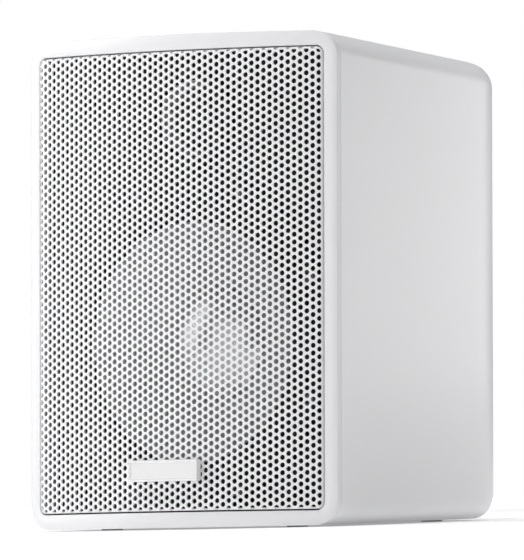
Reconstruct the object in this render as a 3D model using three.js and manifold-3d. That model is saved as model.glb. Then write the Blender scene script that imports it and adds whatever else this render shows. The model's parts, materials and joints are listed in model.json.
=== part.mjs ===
// Compact two-way bookshelf speaker with a perforated, bowed grille, modelled piece by piece.
// Millimetres. Pieces are drawn in the cabinet's own frame: +X to the cabinet's right seen from
// the front, +Y from the grille into the cabinet, +Z up, with the origin at the middle of the
// grille's foremost line. The finished speaker then leans back so that its tapered base lies flat.
import * as THREE from 'three';
import { mergeVertices } from 'three/addons/utils/BufferGeometryUtils.js';
import Module from 'manifold-3d';

// ---- Driving dimensions ------------------------------------------------------------------------
// Cabinet
const WIDTH = 172.4; // across the front, straight across
const HEIGHT = 226.4; // front, top to bottom
const DEPTH = 180; // from the foremost line of the grille to the back panel
const FRONT_RADIUS = 305; // plan radius of the bowed front
const DRAFT_SIDE = 0.044; // each side wall closes in by this much per mm of depth
const DRAFT_TOP = 0.053;
const DRAFT_BASE = 0.04;
const EDGE_R = 11.5; // long edges, front corners and the back's top and bottom edges
const BACK_CORNER_R = 42; // plan radius of the two upright back corners
const WALL = 3;
const FRONT_MID = -0.5; // middle of the front, below the middle of the perforation
const FIT = 0.3; // clearance between pieces that seat on each other
// Front frame, grille and badge
const FRAME_SETBACK = 0.6; // frame's face behind the grille's face
const FRAME_LIP = 2.4; // thickness of the frame's visible border
const WELL_WALL = 2;
const BORDER_SIDE = 6.3; // visible border beside the grille's opening
const BORDER_END = 7.2; // and above and below it
const OPENING_R = 4;
const GRILLE_GAP = 0.7; // shadow gap all round the grille
const SHEET_T = 0.8;
const GRILLE_RIM = 4.5; // depth of the grille's turned-back edge
const BADGE_W = 38.4;
const BADGE_H = 9.8;
const BADGE_T = 3.2;
const BADGE_RISE = 19.1; // badge's middle above the opening's lower edge
const BADGE_CORNER_R = 0.8;
const PEG_SIDE = 19.9; // pegs in from the opening's sides, its top and its lower edge
const PEG_TOP = 21.5;
const PEG_BOTTOM = 9.5;
const PEG_R = 2.2;
const PEG_FOOT_R = 4;
const PEG_SINK = 3.4; // length of a peg inside its socket
// Baffle
const BAFFLE_Y = 20; // front face of the flat baffle
const BAFFLE_T = 9;
const BAFFLE_EDGE_GAP = 0.6;
const LEDGE_T = 4; // ledge inside the shell that the baffle is bonded to
const LEDGE_W = 5;
// Woofer
const WOOFER_RISE = 78.6; // woofer's axis above the opening's lower edge
const FLANGE_R = 78.4;
const FLANGE_LAND = 12.4; // width of the flange outside the basket
const FLANGE_T = 2.6;
const SCREW_INSET = 4.1; // screw centres in from the flange's edge
const WOOFER_SCREWS = 8;
const WOOFER_SHANK_R = 1.7;
const WOOFER_HEAD_R = 3.4;
const SCREW_HEAD_T = 2;
const BASKET_HOLE_R = 24;
const BASKET_SPOKES = 6;
const SURROUND_LAND = 3; // glued rim of the surround on the flange
const ROLL_W = 10.1; // across the surround's roll, from the basket to the cone
const ROLL_RISE = 3.6;
const SURROUND_T = 0.8;
const CONE_EDGE_Y = 21;
const CAP_R = 26.5; // dust cap's glue line on the cone
const CAP_RISE = 8;
const CAP_T = 0.6;
const COIL_R = 13.2; // inner radius of the voice-coil former
const CONE_NECK_Y = 47;
const CONE_T = 0.8;
const FORMER_T = 0.3;
const WINDING_GAP = 0.3;
const WINDING_T = 0.7;
const RUN_CLEARANCE = 0.5; // radial clearance of a voice coil
const VENT_R = 4;
const SPIDER_R = 38;
const SPIDER_Y = 50.5; // at its outer edge
const SPIDER_DISH = 3; // how much deeper its inner edge lies
const SPIDER_T = 0.8;
const SPIDER_WAVE = 0.8;
const BASKET_BACK_Y = 62;
const TOP_PLATE_T = 5;
const TOP_PLATE_R = 38;
const MAGNET_R = 42;
const MAGNET_T = 16;
const BACK_PLATE_T = 6;
// Tweeter
const TWEETER_DROP = 30.1; // tweeter's axis below the opening's top
const TWEETER_R = 23.9;
const TWEETER_T = 2.6;
const TWEETER_MOUTH_R = 17.5;
const TWEETER_THROAT_R = 15;
const TWEETER_DOME_Y = 29;
const DOME_R = 12.7;
const DOME_RISE = 4.6;
const TWEETER_CAN_R = 18.6;
const TWEETER_CAN_T = 17;
const TWEETER_SCREWS = 3;
const TWEETER_SCREW_INSET = 2.6;
const TWEETER_SHANK_R = 1.1;
const TWEETER_HEAD_R = 2.1;
const TWEETER_BODY_R = 18.9;
const TRIM_FRONT_Y = 20.5;
const DOME_T = 0.4;
// Back panel
const CUP_W = 62;
const CUP_H = 44;
const CUP_RISE = 61.7; // cup's middle above the front's lower edge
const CUP_SINK = 15;
const CUP_CORNER_R = 6;
const CUP_WALL = 2;
const CUP_FLANGE = 5;
const CUP_FLANGE_T = 1.6;
const POST_SPACING = 30;
const POST_R = 2.4;
const COLLAR_R = 5;
const COLLAR_T = 1.6;
const WIRE_GAP = 2; // room for a bared wire between the collar and the washer
const WASHER_T = 0.8;
const CAP_LENGTH = 10;
const KNOB_R = 5.8;
const CAP_FLUTES = 12;
const PORT_DROP = 68.7; // port's axis below the front's top
const PORT_BORE_R = 15;
const PORT_LENGTH = 88;
const PORT_WALL = 2;
const PORT_LIP = 6;
const PORT_LIP_T = 1.6;
const PORT_FLARE = 4;
const INSERT_DROP = 34.7;
const INSERT_R = 5;
const INSERT_T = 10;
const INSERT_BORE_R = 2.5; // M6 thread's core
const INSERT_RECESS = 0.2; // its end below the panel
const INSERT_FLOOR = 1.5;
const BOSS_T = 13;
const BOSS_WALL = 4; // round the insert
const FOOT_R = 5;
const FOOT_SINK = 1.2;
const FOOT_INSET = 34.2; // from the side
const FOOT_FRONT_Y = 30;
const FOOT_REAR = 40; // from the back
const FOOT_STAND = 0.8; // foot's height below the base

// Inside the cabinet
const BOARD_W = 84;
const BOARD_H = 44;
const BOARD_T = 1.6;
const BOARD_BACK_GAP = 12.4; // behind the board, to the inside of the back
const BOARD_DROP = 114.7; // board's middle below the front's top
const LEAD_R = 1.2;
const WOOL_W = 132;
const WOOL_T = 25;
const WOOL_H = 46;
const WOOL_BEHIND_BAFFLE = 28;
const WOOL_DROP = 14.7; // below the front's top

// ---- Mesh helpers --------------------------------------------------------------------------------
const DEG = Math.PI / 180;
const wasm = await Module();
wasm.setup();

// Welds a geometry's vertices, drops triangles with no area and turns it so that it faces outwards.
const weld = (geometry) => {
  const bare = geometry.clone();
  bare.deleteAttribute('normal');
  bare.deleteAttribute('uv');
  const merged = mergeVertices(bare, 1e-4);
  const index = merged.index.array;
  const position = merged.attributes.position;
  const at = (i) => new THREE.Vector3().fromBufferAttribute(position, i);
  const kept = [];
  let volume = 0;
  for (let i = 0; i < index.length; i += 3) {
    const [a, b, c] = [index[i], index[i + 1], index[i + 2]];
    if (a === b || b === c || c === a) continue;
    kept.push([a, b, c]);
    volume += at(a).dot(at(b).cross(at(c)));
  }
  merged.setIndex(kept.flatMap(([a, b, c]) => (volume < 0 ? [a, c, b] : [a, b, c])));
  return merged;
};
const solidOf = (geometry) => {
  const welded = weld(geometry);
  const vertProperties = new Float32Array(welded.attributes.position.array);
  const triVerts = new Uint32Array(welded.index.array);
  return new wasm.Manifold(new wasm.Mesh({ numProp: 3, vertProperties, triVerts }));
};
const geometryOf = (solid) => {
  const mesh = solid.getMesh();
  const geometry = new THREE.BufferGeometry();
  geometry.setAttribute('position', new THREE.BufferAttribute(mesh.vertProperties, 3));
  geometry.setIndex(new THREE.BufferAttribute(mesh.triVerts, 1));
  return geometry;
};
const join = (first, ...rest) =>
  geometryOf(rest.reduce((solid, next) => solid.add(solidOf(next)), solidOf(first)));
const cut = (first, ...rest) =>
  geometryOf(rest.reduce((solid, next) => solid.subtract(solidOf(next)), solidOf(first)));
const common = (first, second) => geometryOf(solidOf(first).intersect(solidOf(second)));

// Rounded rectangle in XZ as a closed list of [x, z] points.
const CORNER_STEPS = 4;
const rounded = (halfW, bottom, top, radius) =>
  [[1, 1, 0], [-1, 1, 90], [-1, -1, 180], [1, -1, 270]].flatMap(([sideX, sideZ, from]) =>
    Array.from({ length: CORNER_STEPS + 1 }, (_, i) => {
      const turn = (from + (90 * i) / CORNER_STEPS) * DEG;
      const z = sideZ > 0 ? top - radius : bottom + radius;
      return [sideX * (halfW - radius) + radius * Math.cos(turn), z + radius * Math.sin(turn)];
    }),
  );

// Solid skinned over sections of { y, outline }, all with equally many points.
const loft = (sections) => {
  const count = sections[0].outline.length;
  const points = sections.flatMap(({ y, outline }) => outline.flatMap(([x, z]) => [x, y, z]));
  const faces = [];
  for (let start = 0; start < (sections.length - 1) * count; start += count) {
    for (let i = 0; i < count; i += 1) {
      const here = start + i;
      const next = start + ((i + 1) % count);
      faces.push(here, next, here + count, next, next + count, here + count);
    }
  }
  const cap = (first, flip) => {
    const flat = sections[first / count].outline.map(([x, z]) => new THREE.Vector2(x, z));
    THREE.ShapeUtils.triangulateShape(flat, []).forEach(([a, b, c]) => {
      faces.push(first + a, first + (flip ? b : c), first + (flip ? c : b));
    });
  };
  cap(0, false);
  cap((sections.length - 1) * count, true);
  const geometry = new THREE.BufferGeometry();
  geometry.setAttribute('position', new THREE.Float32BufferAttribute(points, 3));
  geometry.setIndex(faces);
  return geometry;
};
const prism = (outline, y0, y1) => loft([{ y: y0, outline }, { y: y1, outline }]);
const block = ([x0, x1], [y0, y1], [z0, z1]) =>
  new THREE.BoxGeometry(x1 - x0, y1 - y0, z1 - z0).translate((x0 + x1) / 2, (y0 + y1) / 2, (z0 + z1) / 2);

// Facets round a turned body: wide, ordinary and small ones.
const WIDE = 32;
const ROUND = 20;
const SMALL = 10;
// Body turned about a line along Y through (x, z); the profile is a list of [radius, y] points.
const turned = (profile, x, z, segments = ROUND) =>
  new THREE.LatheGeometry(profile.map(([r, y]) => new THREE.Vector2(r, y)), segments).translate(x, 0, z);
const ring = (inner, outer, y0, y1) => [[inner, y0], [outer, y0], [outer, y1], [inner, y1], [inner, y0]];
const disc = (radius, y0, y1) => [[0, y0], [radius, y0], [radius, y1], [0, y1]];

// Round lead along a smooth curve through the given points.
const lead = (points, radius) => {
  const section = new THREE.Shape(new THREE.Path().absarc(0, 0, radius, 0, 2 * Math.PI).getPoints(3));
  const curve = new THREE.CatmullRomCurve3(points.map(([x, y, z]) => new THREE.Vector3(x, y, z)));
  return new THREE.ExtrudeGeometry(section, { steps: 16, bevelEnabled: false, extrudePath: curve });
};

const model = new THREE.Group();
const add = (name, geometry, finish) => {
  const shown = weld(geometry).toNonIndexed();
  shown.computeVertexNormals();
  const mesh = new THREE.Mesh(shown, new THREE.MeshStandardMaterial(finish));
  mesh.name = name;
  model.add(mesh);
};

// ---- Finishes ------------------------------------------------------------------------------------
const lacquer = { color: '#f1f1f2', roughness: 0.32, metalness: 0 };
const paintedSteel = { color: '#efeff0', roughness: 0.45, metalness: 0 };
const badgeMetal = { color: '#d9dadc', roughness: 0.25, metalness: 0.9 };
const blackPlastic = { color: '#141415', roughness: 0.55, metalness: 0 };
const blackRubber = { color: '#19191a', roughness: 0.8, metalness: 0 };
const greyRubber = { color: '#8d8e90', roughness: 0.8, metalness: 0 };
const coneMetal = { color: '#b9bbbe', roughness: 0.35, metalness: 0.95 };
const steel = { color: '#9a9c9f', roughness: 0.35, metalness: 1 };
const blackSteel = { color: '#1d1d1f', roughness: 0.4, metalness: 0.6 };
const ferrite = { color: '#2b2b2d', roughness: 0.75, metalness: 0 };
const copper = { color: '#b4693a', roughness: 0.4, metalness: 0.9 };
const treatedCloth = { color: '#c9a25c', roughness: 0.9, metalness: 0 };
const silk = { color: '#1b1b1c', roughness: 0.7, metalness: 0 };
const boardGreen = { color: '#20603b', roughness: 0.5, metalness: 0 };
const filmYellow = { color: '#b8892f', roughness: 0.4, metalness: 0 };
const ceramic = { color: '#e7e4da', roughness: 0.8, metalness: 0 };
const postRed = { color: '#b01c1c', roughness: 0.35, metalness: 0 };
const brass = { color: '#c9a550', roughness: 0.3, metalness: 1 };
const polyesterWool = { color: '#d8d8d4', roughness: 1, metalness: 0 };

// ---- Cabinet outline -----------------------------------------------------------------------------
const FRONT_TOP = FRONT_MID + HEIGHT / 2;
const FRONT_BOTTOM = FRONT_MID - HEIGHT / 2;
const OPENING_HALF_W = WIDTH / 2 - BORDER_SIDE;
const OPEN_TOP = FRONT_TOP - BORDER_END;
const OPEN_BOTTOM = FRONT_BOTTOM + BORDER_END;
const BADGE_Z = OPEN_BOTTOM + BADGE_RISE;
const WOOFER_Z = OPEN_BOTTOM + WOOFER_RISE;
const TWEETER_Z = OPEN_TOP - TWEETER_DROP;
const CUP_Z = FRONT_BOTTOM + CUP_RISE;
const PORT_Z = FRONT_TOP - PORT_DROP;
const INSERT_Z = FRONT_TOP - INSERT_DROP;
const BOARD_Z = FRONT_TOP - BOARD_DROP;

// Depth of the bowed front at x, for the surface that lies `behind` mm behind its face.
const bowAt = (x, behind) => FRONT_RADIUS - Math.sqrt((FRONT_RADIUS - behind) ** 2 - x * x);
const SIDE_EDGE_Y = bowAt(WIDTH / 2, 0);
const backRound = (y, radius, depth) => {
  const past = y - (depth - radius);
  return past > 0 ? radius - Math.sqrt(Math.max(0, radius ** 2 - past ** 2)) : 0;
};
const cabinetSection = (y, inset) => {
  const depth = DEPTH - inset;
  const endRound = backRound(y, EDGE_R - inset, depth);
  const halfW =
    WIDTH / 2 - inset - DRAFT_SIDE * (y - SIDE_EDGE_Y) - backRound(y, BACK_CORNER_R - inset, depth);
  const top = FRONT_TOP - inset - DRAFT_TOP * y - endRound;
  const bottom = FRONT_BOTTOM + inset + DRAFT_BASE * y + endRound;
  return { y, outline: rounded(halfW, bottom, top, EDGE_R - inset) };
};
const cabinetSolid = (y0, inset) => {
  const depth = DEPTH - inset;
  const turns = (radius, steps) =>
    Array.from({ length: steps + 1 }, (_, i) => depth - radius + radius * Math.sin((90 * i * DEG) / steps));
  const stops = [y0, ...turns(BACK_CORNER_R - inset, 6), ...turns(EDGE_R - inset, 3)];
  const depths = [...new Set(stops.map((y) => Math.round(y * 1e4) / 1e4))].sort((a, b) => a - b);
  return loft(depths.map((y) => cabinetSection(Math.min(y, depth), inset)));
};

// Everything between two surfaces of the bowed front, or behind one of them, to a flat back.
const BOW_STEPS = 20;
const OUTSIDE = 20; // how far cutting solids reach past what they cut
const bowedSlab = (front, back) => {
  const reach = WIDTH / 2 + OUTSIDE;
  const xs = Array.from({ length: BOW_STEPS + 1 }, (_, i) => -reach + (2 * reach * i) / BOW_STEPS);
  const facePoints = xs.map((x) => new THREE.Vector2(x, bowAt(x, front)));
  const flatBack = [new THREE.Vector2(reach, DEPTH + OUTSIDE), new THREE.Vector2(-reach, DEPTH + OUTSIDE)];
  const bowedBack = xs.toReversed().map((x) => new THREE.Vector2(x, bowAt(x, back ?? 0)));
  const backPoints = back === null ? flatBack : bowedBack;
  const plan = new THREE.Shape([...facePoints, ...backPoints]);
  const depth = HEIGHT + 2 * OUTSIDE;
  return new THREE.ExtrudeGeometry(plan, { depth, bevelEnabled: false }).translate(0, 0, -depth / 2);
};
const openingOutline = (grow) =>
  rounded(OPENING_HALF_W + grow, OPEN_BOTTOM - grow, OPEN_TOP + grow, OPENING_R + grow);

// ---- Cabinet -------------------------------------------------------------------------------------
// The base slopes up towards the back at this angle, and the whole speaker leans back by it.
const LEAN = Math.atan(DRAFT_BASE);
const baseAt = (y) => FRONT_BOTTOM + DRAFT_BASE * y;
// Places a geometry drawn about Z on the base at (x, y), with Z square to the base.
const onBase = (geometry, x, y) => geometry.rotateX(LEAN).translate(x, y, baseAt(y));
const upright = (radius, z0, z1, segments = SMALL) =>
  new THREE.CylinderGeometry(radius, radius, z1 - z0, segments)
    .rotateX(90 * DEG)
    .translate(0, 0, (z0 + z1) / 2);
const feet = [
  ['foot_front_left', -1, FOOT_FRONT_Y],
  ['foot_front_right', 1, FOOT_FRONT_Y],
  ['foot_rear_left', -1, DEPTH - FOOT_REAR],
  ['foot_rear_right', 1, DEPTH - FOOT_REAR],
].map(([name, side, y]) => ({ name, x: side * (WIDTH / 2 - FOOT_INSET), y }));

const baffleBack = BAFFLE_Y + BAFFLE_T;
const ledgeFront = baffleBack + FIT;
const ledge = cut(
  loft([ledgeFront, ledgeFront + LEDGE_T].map((y) => cabinetSection(y, WALL - 0.5))),
  prism(cabinetSection(ledgeFront, WALL + LEDGE_W).outline, BAFFLE_Y, ledgeFront + LEDGE_T + OUTSIDE),
);
const cupOutline = (grow) =>
  rounded(CUP_W / 2 + grow, CUP_Z - CUP_H / 2 - grow, CUP_Z + CUP_H / 2 + grow, CUP_CORNER_R + grow);
const boss = turned(disc(INSERT_R + BOSS_WALL, DEPTH - BOSS_T, DEPTH), 0, INSERT_Z);
const hollow = cut(cabinetSolid(-OUTSIDE, WALL), boss);
const shellBlank = cut(
  common(cabinetSolid(-OUTSIDE, 0), bowedSlab(FRAME_SETBACK + FRAME_LIP + FIT, null)),
  hollow,
);
add(
  'cabinet_shell',
  cut(
    join(shellBlank, ledge),
    prism(cupOutline(CUP_WALL + FIT), DEPTH - WALL - 1, DEPTH + OUTSIDE),
    turned(disc(PORT_BORE_R + PORT_WALL + FIT, DEPTH - WALL - 1, DEPTH + OUTSIDE), 0, PORT_Z),
    turned(disc(INSERT_R + FIT, DEPTH - INSERT_T, DEPTH + OUTSIDE), 0, INSERT_Z),
    ...feet.map(({ x, y }) => onBase(upright(FOOT_R + FIT, -OUTSIDE, FOOT_SINK), x, y)),
  ),
  lacquer,
);
feet.forEach(({ name, x, y }) => {
  add(name, onBase(upright(FOOT_R, -FOOT_STAND, FOOT_SINK - FIT), x, y), greyRubber);
});

// The frame is a thin bowed border and a deep rebate that the grille drops into.
const borderBlank = loft([-OUTSIDE, BAFFLE_Y].map((y) => cabinetSection(y, 0)));
const border = common(borderBlank, bowedSlab(FRAME_SETBACK, FRAME_SETBACK + FRAME_LIP));
const wellBlank = prism(openingOutline(WELL_WALL), -OUTSIDE, BAFFLE_Y - FIT);
const well = common(wellBlank, bowedSlab(FRAME_SETBACK, null));
const opening = prism(openingOutline(0), -OUTSIDE - 1, BAFFLE_Y + OUTSIDE);
add('front_frame', cut(join(border, well), opening), lacquer);

// ---- Grille --------------------------------------------------------------------------------------
const sheetOutside = common(prism(openingOutline(-GRILLE_GAP), -OUTSIDE, BAFFLE_Y), bowedSlab(0, GRILLE_RIM));
const sheetInsideOutline = openingOutline(-GRILLE_GAP - SHEET_T);
const sheetInside = common(prism(sheetInsideOutline, -OUTSIDE - 1, BAFFLE_Y + 1), bowedSlab(SHEET_T, null));
add('grille_sheet', cut(sheetOutside, sheetInside), paintedSteel);
const badgeOutline = rounded(BADGE_W / 2, BADGE_Z - BADGE_H / 2, BADGE_Z + BADGE_H / 2, BADGE_CORNER_R);
add('badge_plate', prism(badgeOutline, -FIT - BADGE_T, -FIT), badgeMetal);
const pegX = OPENING_HALF_W - PEG_SIDE;
const pegs = [
  ['grille_peg_top_left', -pegX, OPEN_TOP - PEG_TOP],
  ['grille_peg_top_right', pegX, OPEN_TOP - PEG_TOP],
  ['grille_peg_bottom_left', -pegX, OPEN_BOTTOM + PEG_BOTTOM],
  ['grille_peg_bottom_right', pegX, OPEN_BOTTOM + PEG_BOTTOM],
];
const pegFootY = bowAt(pegX + PEG_FOOT_R, SHEET_T) + FIT;
pegs.forEach(([name, x, z]) => {
  const tip = BAFFLE_Y + PEG_SINK;
  const profile = [
    [0, pegFootY],
    [PEG_FOOT_R, pegFootY],
    [PEG_FOOT_R, pegFootY + 1.2],
    [PEG_R + 0.6, pegFootY + 3],
    [PEG_R, BAFFLE_Y - 1],
    [PEG_R, tip - 1],
    [PEG_R - 0.8, tip],
    [0, tip],
  ];
  add(name, turned(profile, x, z, SMALL), paintedSteel);
});

// ---- Drive unit fixings --------------------------------------------------------------------------
const flangeBack = BAFFLE_Y - FIT;
const boltCircle = (count, radius, z, start) =>
  Array.from({ length: count }, (_, i) => {
    const turn = (start + (360 * i) / count) * DEG;
    return { x: radius * Math.sin(turn), z: z + radius * Math.cos(turn) };
  });
const wooferHoles = boltCircle(WOOFER_SCREWS, FLANGE_R - SCREW_INSET, WOOFER_Z, 180 / WOOFER_SCREWS);
const tweeterHoles = boltCircle(TWEETER_SCREWS, TWEETER_R - TWEETER_SCREW_INSET, TWEETER_Z, 0);
const through = (holes, radius, y0, y1) => holes.map(({ x, z }) => turned(disc(radius, y0, y1), x, z, SMALL));

// Pan-head screw with a hexagon socket; its head stands on a surface at y = seat.
const panScrew = ({ x, z }, seat, shankR, headR, length) => {
  const head = seat - FIT - SCREW_HEAD_T;
  const profile = [
    [0, head],
    [headR * 0.8, head],
    [headR, head + SCREW_HEAD_T * 0.45],
    [headR, head + SCREW_HEAD_T],
    [shankR, head + SCREW_HEAD_T],
    [shankR, seat + length - shankR],
    [0, seat + length],
  ];
  const socket = new THREE.CylinderGeometry(headR * 0.5, headR * 0.5, 2.4, 6).translate(x, head, z);
  return cut(turned(profile, x, z, SMALL), socket);
};

const BASKET_R = FLANGE_R - FLANGE_LAND;
const CONE_R = BASKET_R - ROLL_W - FIT;

// ---- Baffle --------------------------------------------------------------------------------------
add(
  'baffle',
  cut(
    loft([BAFFLE_Y, baffleBack].map((y) => cabinetSection(y, WALL + BAFFLE_EDGE_GAP))),
    turned(disc(BASKET_R + 0.8, BAFFLE_Y - 1, baffleBack + 1), 0, WOOFER_Z, WIDE),
    turned(disc(TWEETER_BODY_R + 0.6, BAFFLE_Y - 1, baffleBack + 1), 0, TWEETER_Z),
    ...pegs.map(([, x, z]) => turned(disc(PEG_R + FIT, BAFFLE_Y - 1, BAFFLE_Y + PEG_SINK + 1), x, z, SMALL)),
    ...through(wooferHoles, WOOFER_SHANK_R + FIT, BAFFLE_Y - 1, baffleBack + 1),
    ...through(tweeterHoles, TWEETER_SHANK_R + FIT, BAFFLE_Y - 1, baffleBack + 1),
  ),
  blackPlastic,
);

// ---- Woofer --------------------------------------------------------------------------------------
const flangeFront = flangeBack - FLANGE_T;
const basketRingFront = BASKET_BACK_Y - FIT - 2.5;
const basketEndR = SPIDER_R + 4;
const wallFront = flangeBack + 7; // the basket's sloping wall runs from here
const wallBack = BASKET_BACK_Y - 4; // to here
const basketWallAt = (y) =>
  basketEndR + ((BASKET_R - basketEndR) * (wallBack - Math.min(y, wallBack))) / (wallBack - wallFront);
const basketProfile = [
  [FLANGE_R, flangeFront],
  [FLANGE_R, flangeBack],
  [BASKET_R, flangeBack],
  [BASKET_R, wallFront],
  [basketEndR, wallBack],
  [basketEndR, BASKET_BACK_Y - FIT],
  [BASKET_HOLE_R, BASKET_BACK_Y - FIT],
  [BASKET_HOLE_R, basketRingFront],
  [SPIDER_R + 1, basketRingFront],
  [SPIDER_R + 1, BASKET_BACK_Y - 5],
  [BASKET_R - 2.4, flangeBack + 6],
  [BASKET_R - 2.4, flangeFront],
  [FLANGE_R, flangeFront],
];
const shelfY = SPIDER_Y + 1.1;
const windowBlocks = Array.from({ length: BASKET_SPOKES }, (_, i) => {
  const window = block([-17, 17], [flangeBack + 9, shelfY - 2.5], [SPIDER_R, BASKET_R + 4]);
  return window.rotateY(((i + 0.5) * 360 * DEG) / BASKET_SPOKES).translate(0, 0, WOOFER_Z);
});
add(
  'woofer_basket',
  cut(
    join(
      turned(basketProfile, 0, WOOFER_Z, WIDE),
      turned(ring(SPIDER_R - 3, SPIDER_R + 5, shelfY, shelfY + 1.8), 0, WOOFER_Z, WIDE),
    ),
    ...windowBlocks,
    ...through(wooferHoles, WOOFER_SHANK_R + FIT, flangeFront - 1, flangeBack + 1),
  ),
  blackSteel,
);
wooferHoles.forEach((hole, i) => {
  add(`woofer_screw_${i + 1}`, panScrew(hole, flangeFront, WOOFER_SHANK_R, WOOFER_HEAD_R, 9), blackSteel);
});

// A strip of the given thickness along a line of [radius, y] points, as a closed profile.
const strip = (line, thickness) => {
  const back = [...line].reverse().map(([r, y]) => [r, y + thickness]);
  return [...line, ...back, line[0]];
};
const ROLL_STEPS = 6;
const surroundY = flangeFront - FIT - SURROUND_T;
const rollIn = CONE_R + FIT + 0.8;
const roll = Array.from({ length: ROLL_STEPS + 1 }, (_, i) => {
  const share = i / ROLL_STEPS;
  const y = CONE_EDGE_Y + (surroundY - CONE_EDGE_Y) * share - ROLL_RISE * Math.sin(180 * share * DEG);
  return [rollIn + (BASKET_R - rollIn) * (1 - Math.cos(180 * share * DEG)) / 2, y];
});
const surroundLine = [[CONE_R + FIT, CONE_EDGE_Y], ...roll, [BASKET_R + SURROUND_LAND, surroundY]];
add('woofer_surround', turned(strip(surroundLine, SURROUND_T), 0, WOOFER_Z, WIDE), blackRubber);
const neckR = COIL_R + FORMER_T + FIT;
const coneLine = [[CONE_R, CONE_EDGE_Y], [neckR, CONE_NECK_Y]];
add('woofer_cone', turned(strip(coneLine, CONE_T), 0, WOOFER_Z, WIDE), coneMetal);

// Shallow dome of the given rise over a circle, from its crown to its edge.
const domeLine = (radius, edgeY, rise, steps) => {
  const sphereR = (radius ** 2 + rise ** 2) / (2 * rise);
  const half = Math.asin(radius / sphereR);
  return Array.from({ length: steps + 1 }, (_, i) => {
    const turn = (half * i) / steps;
    return [sphereR * Math.sin(turn), edgeY - rise + sphereR * (1 - Math.cos(turn))];
  });
};
const coneAt = (r) => CONE_EDGE_Y + ((CONE_R - r) * (CONE_NECK_Y - CONE_EDGE_Y)) / (CONE_R - neckR);
const shellOf = (line, thickness) => [...line, ...[...line].reverse().map(([r, y]) => [r, y + thickness])];
add(
  'woofer_dust_cap',
  turned(shellOf(domeLine(CAP_R, coneAt(CAP_R) - FIT - CAP_T, CAP_RISE, 5), CAP_T), 0, WOOFER_Z, WIDE),
  coneMetal,
);
const SPIDER_WAVES = 3;
const spiderInner = neckR + 0.5;
const spiderLine = Array.from({ length: SPIDER_WAVES * 4 + 1 }, (_, i) => {
  const share = i / (SPIDER_WAVES * 4);
  const y = SPIDER_Y + SPIDER_DISH * (1 - share) + SPIDER_WAVE * Math.sin(share * SPIDER_WAVES * 360 * DEG);
  return [spiderInner + (SPIDER_R - spiderInner) * share, y];
});
add('woofer_spider', turned(strip(spiderLine, SPIDER_T), 0, WOOFER_Z), treatedCloth);
const formerBack = BASKET_BACK_Y + TOP_PLATE_T + 4;
add('woofer_former', turned(ring(COIL_R, COIL_R + FORMER_T, CONE_NECK_Y - 2, formerBack), 0, WOOFER_Z), steel);
const windingR = COIL_R + FORMER_T + WINDING_GAP;
add(
  'woofer_winding',
  turned(ring(windingR, windingR + WINDING_T, BASKET_BACK_Y - 2, formerBack - 0.6), 0, WOOFER_Z),
  copper,
);
const magnetFront = BASKET_BACK_Y + TOP_PLATE_T + FIT;
const magnetBack = magnetFront + MAGNET_T;
const gapR = windingR + WINDING_T + RUN_CLEARANCE;
const topPlate = ring(gapR, TOP_PLATE_R, BASKET_BACK_Y, BASKET_BACK_Y + TOP_PLATE_T);
add('woofer_top_plate', turned(topPlate, 0, WOOFER_Z), steel);
add('woofer_magnet', turned(ring(gapR + 5, MAGNET_R, magnetFront, magnetBack), 0, WOOFER_Z, WIDE), ferrite);
const poleProfile = [
  [VENT_R, BASKET_BACK_Y],
  [COIL_R - RUN_CLEARANCE, BASKET_BACK_Y],
  [COIL_R - RUN_CLEARANCE, magnetBack + FIT],
  [TOP_PLATE_R, magnetBack + FIT],
  [TOP_PLATE_R, magnetBack + FIT + BACK_PLATE_T],
  [VENT_R, magnetBack + FIT + BACK_PLATE_T],
  [VENT_R, BASKET_BACK_Y],
];
add('woofer_pole_plate', turned(poleProfile, 0, WOOFER_Z), steel);

// ---- Tweeter -------------------------------------------------------------------------------------
const tweeterFront = flangeBack - TWEETER_T;
const bodyBack = TWEETER_DOME_Y + 2;
const faceplateProfile = [
  [TWEETER_R, tweeterFront + 0.5],
  [TWEETER_R, flangeBack],
  [TWEETER_BODY_R, flangeBack],
  [TWEETER_BODY_R, bodyBack],
  [TWEETER_THROAT_R + 1.2, bodyBack],
  [TWEETER_THROAT_R + 1.2, TWEETER_DOME_Y + FIT],
  [TWEETER_MOUTH_R + FIT, TWEETER_DOME_Y + FIT],
  [TWEETER_MOUTH_R + FIT, TRIM_FRONT_Y - 0.8],
  [TWEETER_MOUTH_R + 1.2, tweeterFront],
  [TWEETER_R - 0.5, tweeterFront],
  [TWEETER_R, tweeterFront + 0.5],
];
add(
  'tweeter_faceplate',
  cut(
    turned(faceplateProfile, 0, TWEETER_Z),
    ...through(tweeterHoles, TWEETER_SHANK_R + FIT, tweeterFront - 1, flangeBack + 1),
  ),
  blackPlastic,
);
tweeterHoles.forEach((hole, i) => {
  add(`tweeter_screw_${i + 1}`, panScrew(hole, tweeterFront, TWEETER_SHANK_R, TWEETER_HEAD_R, 8), blackSteel);
});
const trimProfile = [
  [TWEETER_MOUTH_R, TRIM_FRONT_Y],
  [TWEETER_MOUTH_R, TWEETER_DOME_Y],
  [TWEETER_THROAT_R, TWEETER_DOME_Y],
  [TWEETER_THROAT_R, TWEETER_DOME_Y - 0.8],
  [TWEETER_MOUTH_R - 0.4, TRIM_FRONT_Y],
  [TWEETER_MOUTH_R, TRIM_FRONT_Y],
];
add('tweeter_trim_ring', turned(trimProfile, 0, TWEETER_Z), coneMetal);
const domeEdge = domeLine(DOME_R, TWEETER_DOME_Y, DOME_RISE, 5);
const domeRoll = [
  [DOME_R + 0.7, TWEETER_DOME_Y - 0.7],
  [DOME_R + 1.3, TWEETER_DOME_Y - 0.7],
  [DOME_R + 1.9, TWEETER_DOME_Y],
];
add('tweeter_dome', turned(shellOf([...domeEdge, ...domeRoll], DOME_T), 0, TWEETER_Z), silk);
const tweeterCoilOut = DOME_R - 0.1;
const canFront = bodyBack + FIT;
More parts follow.
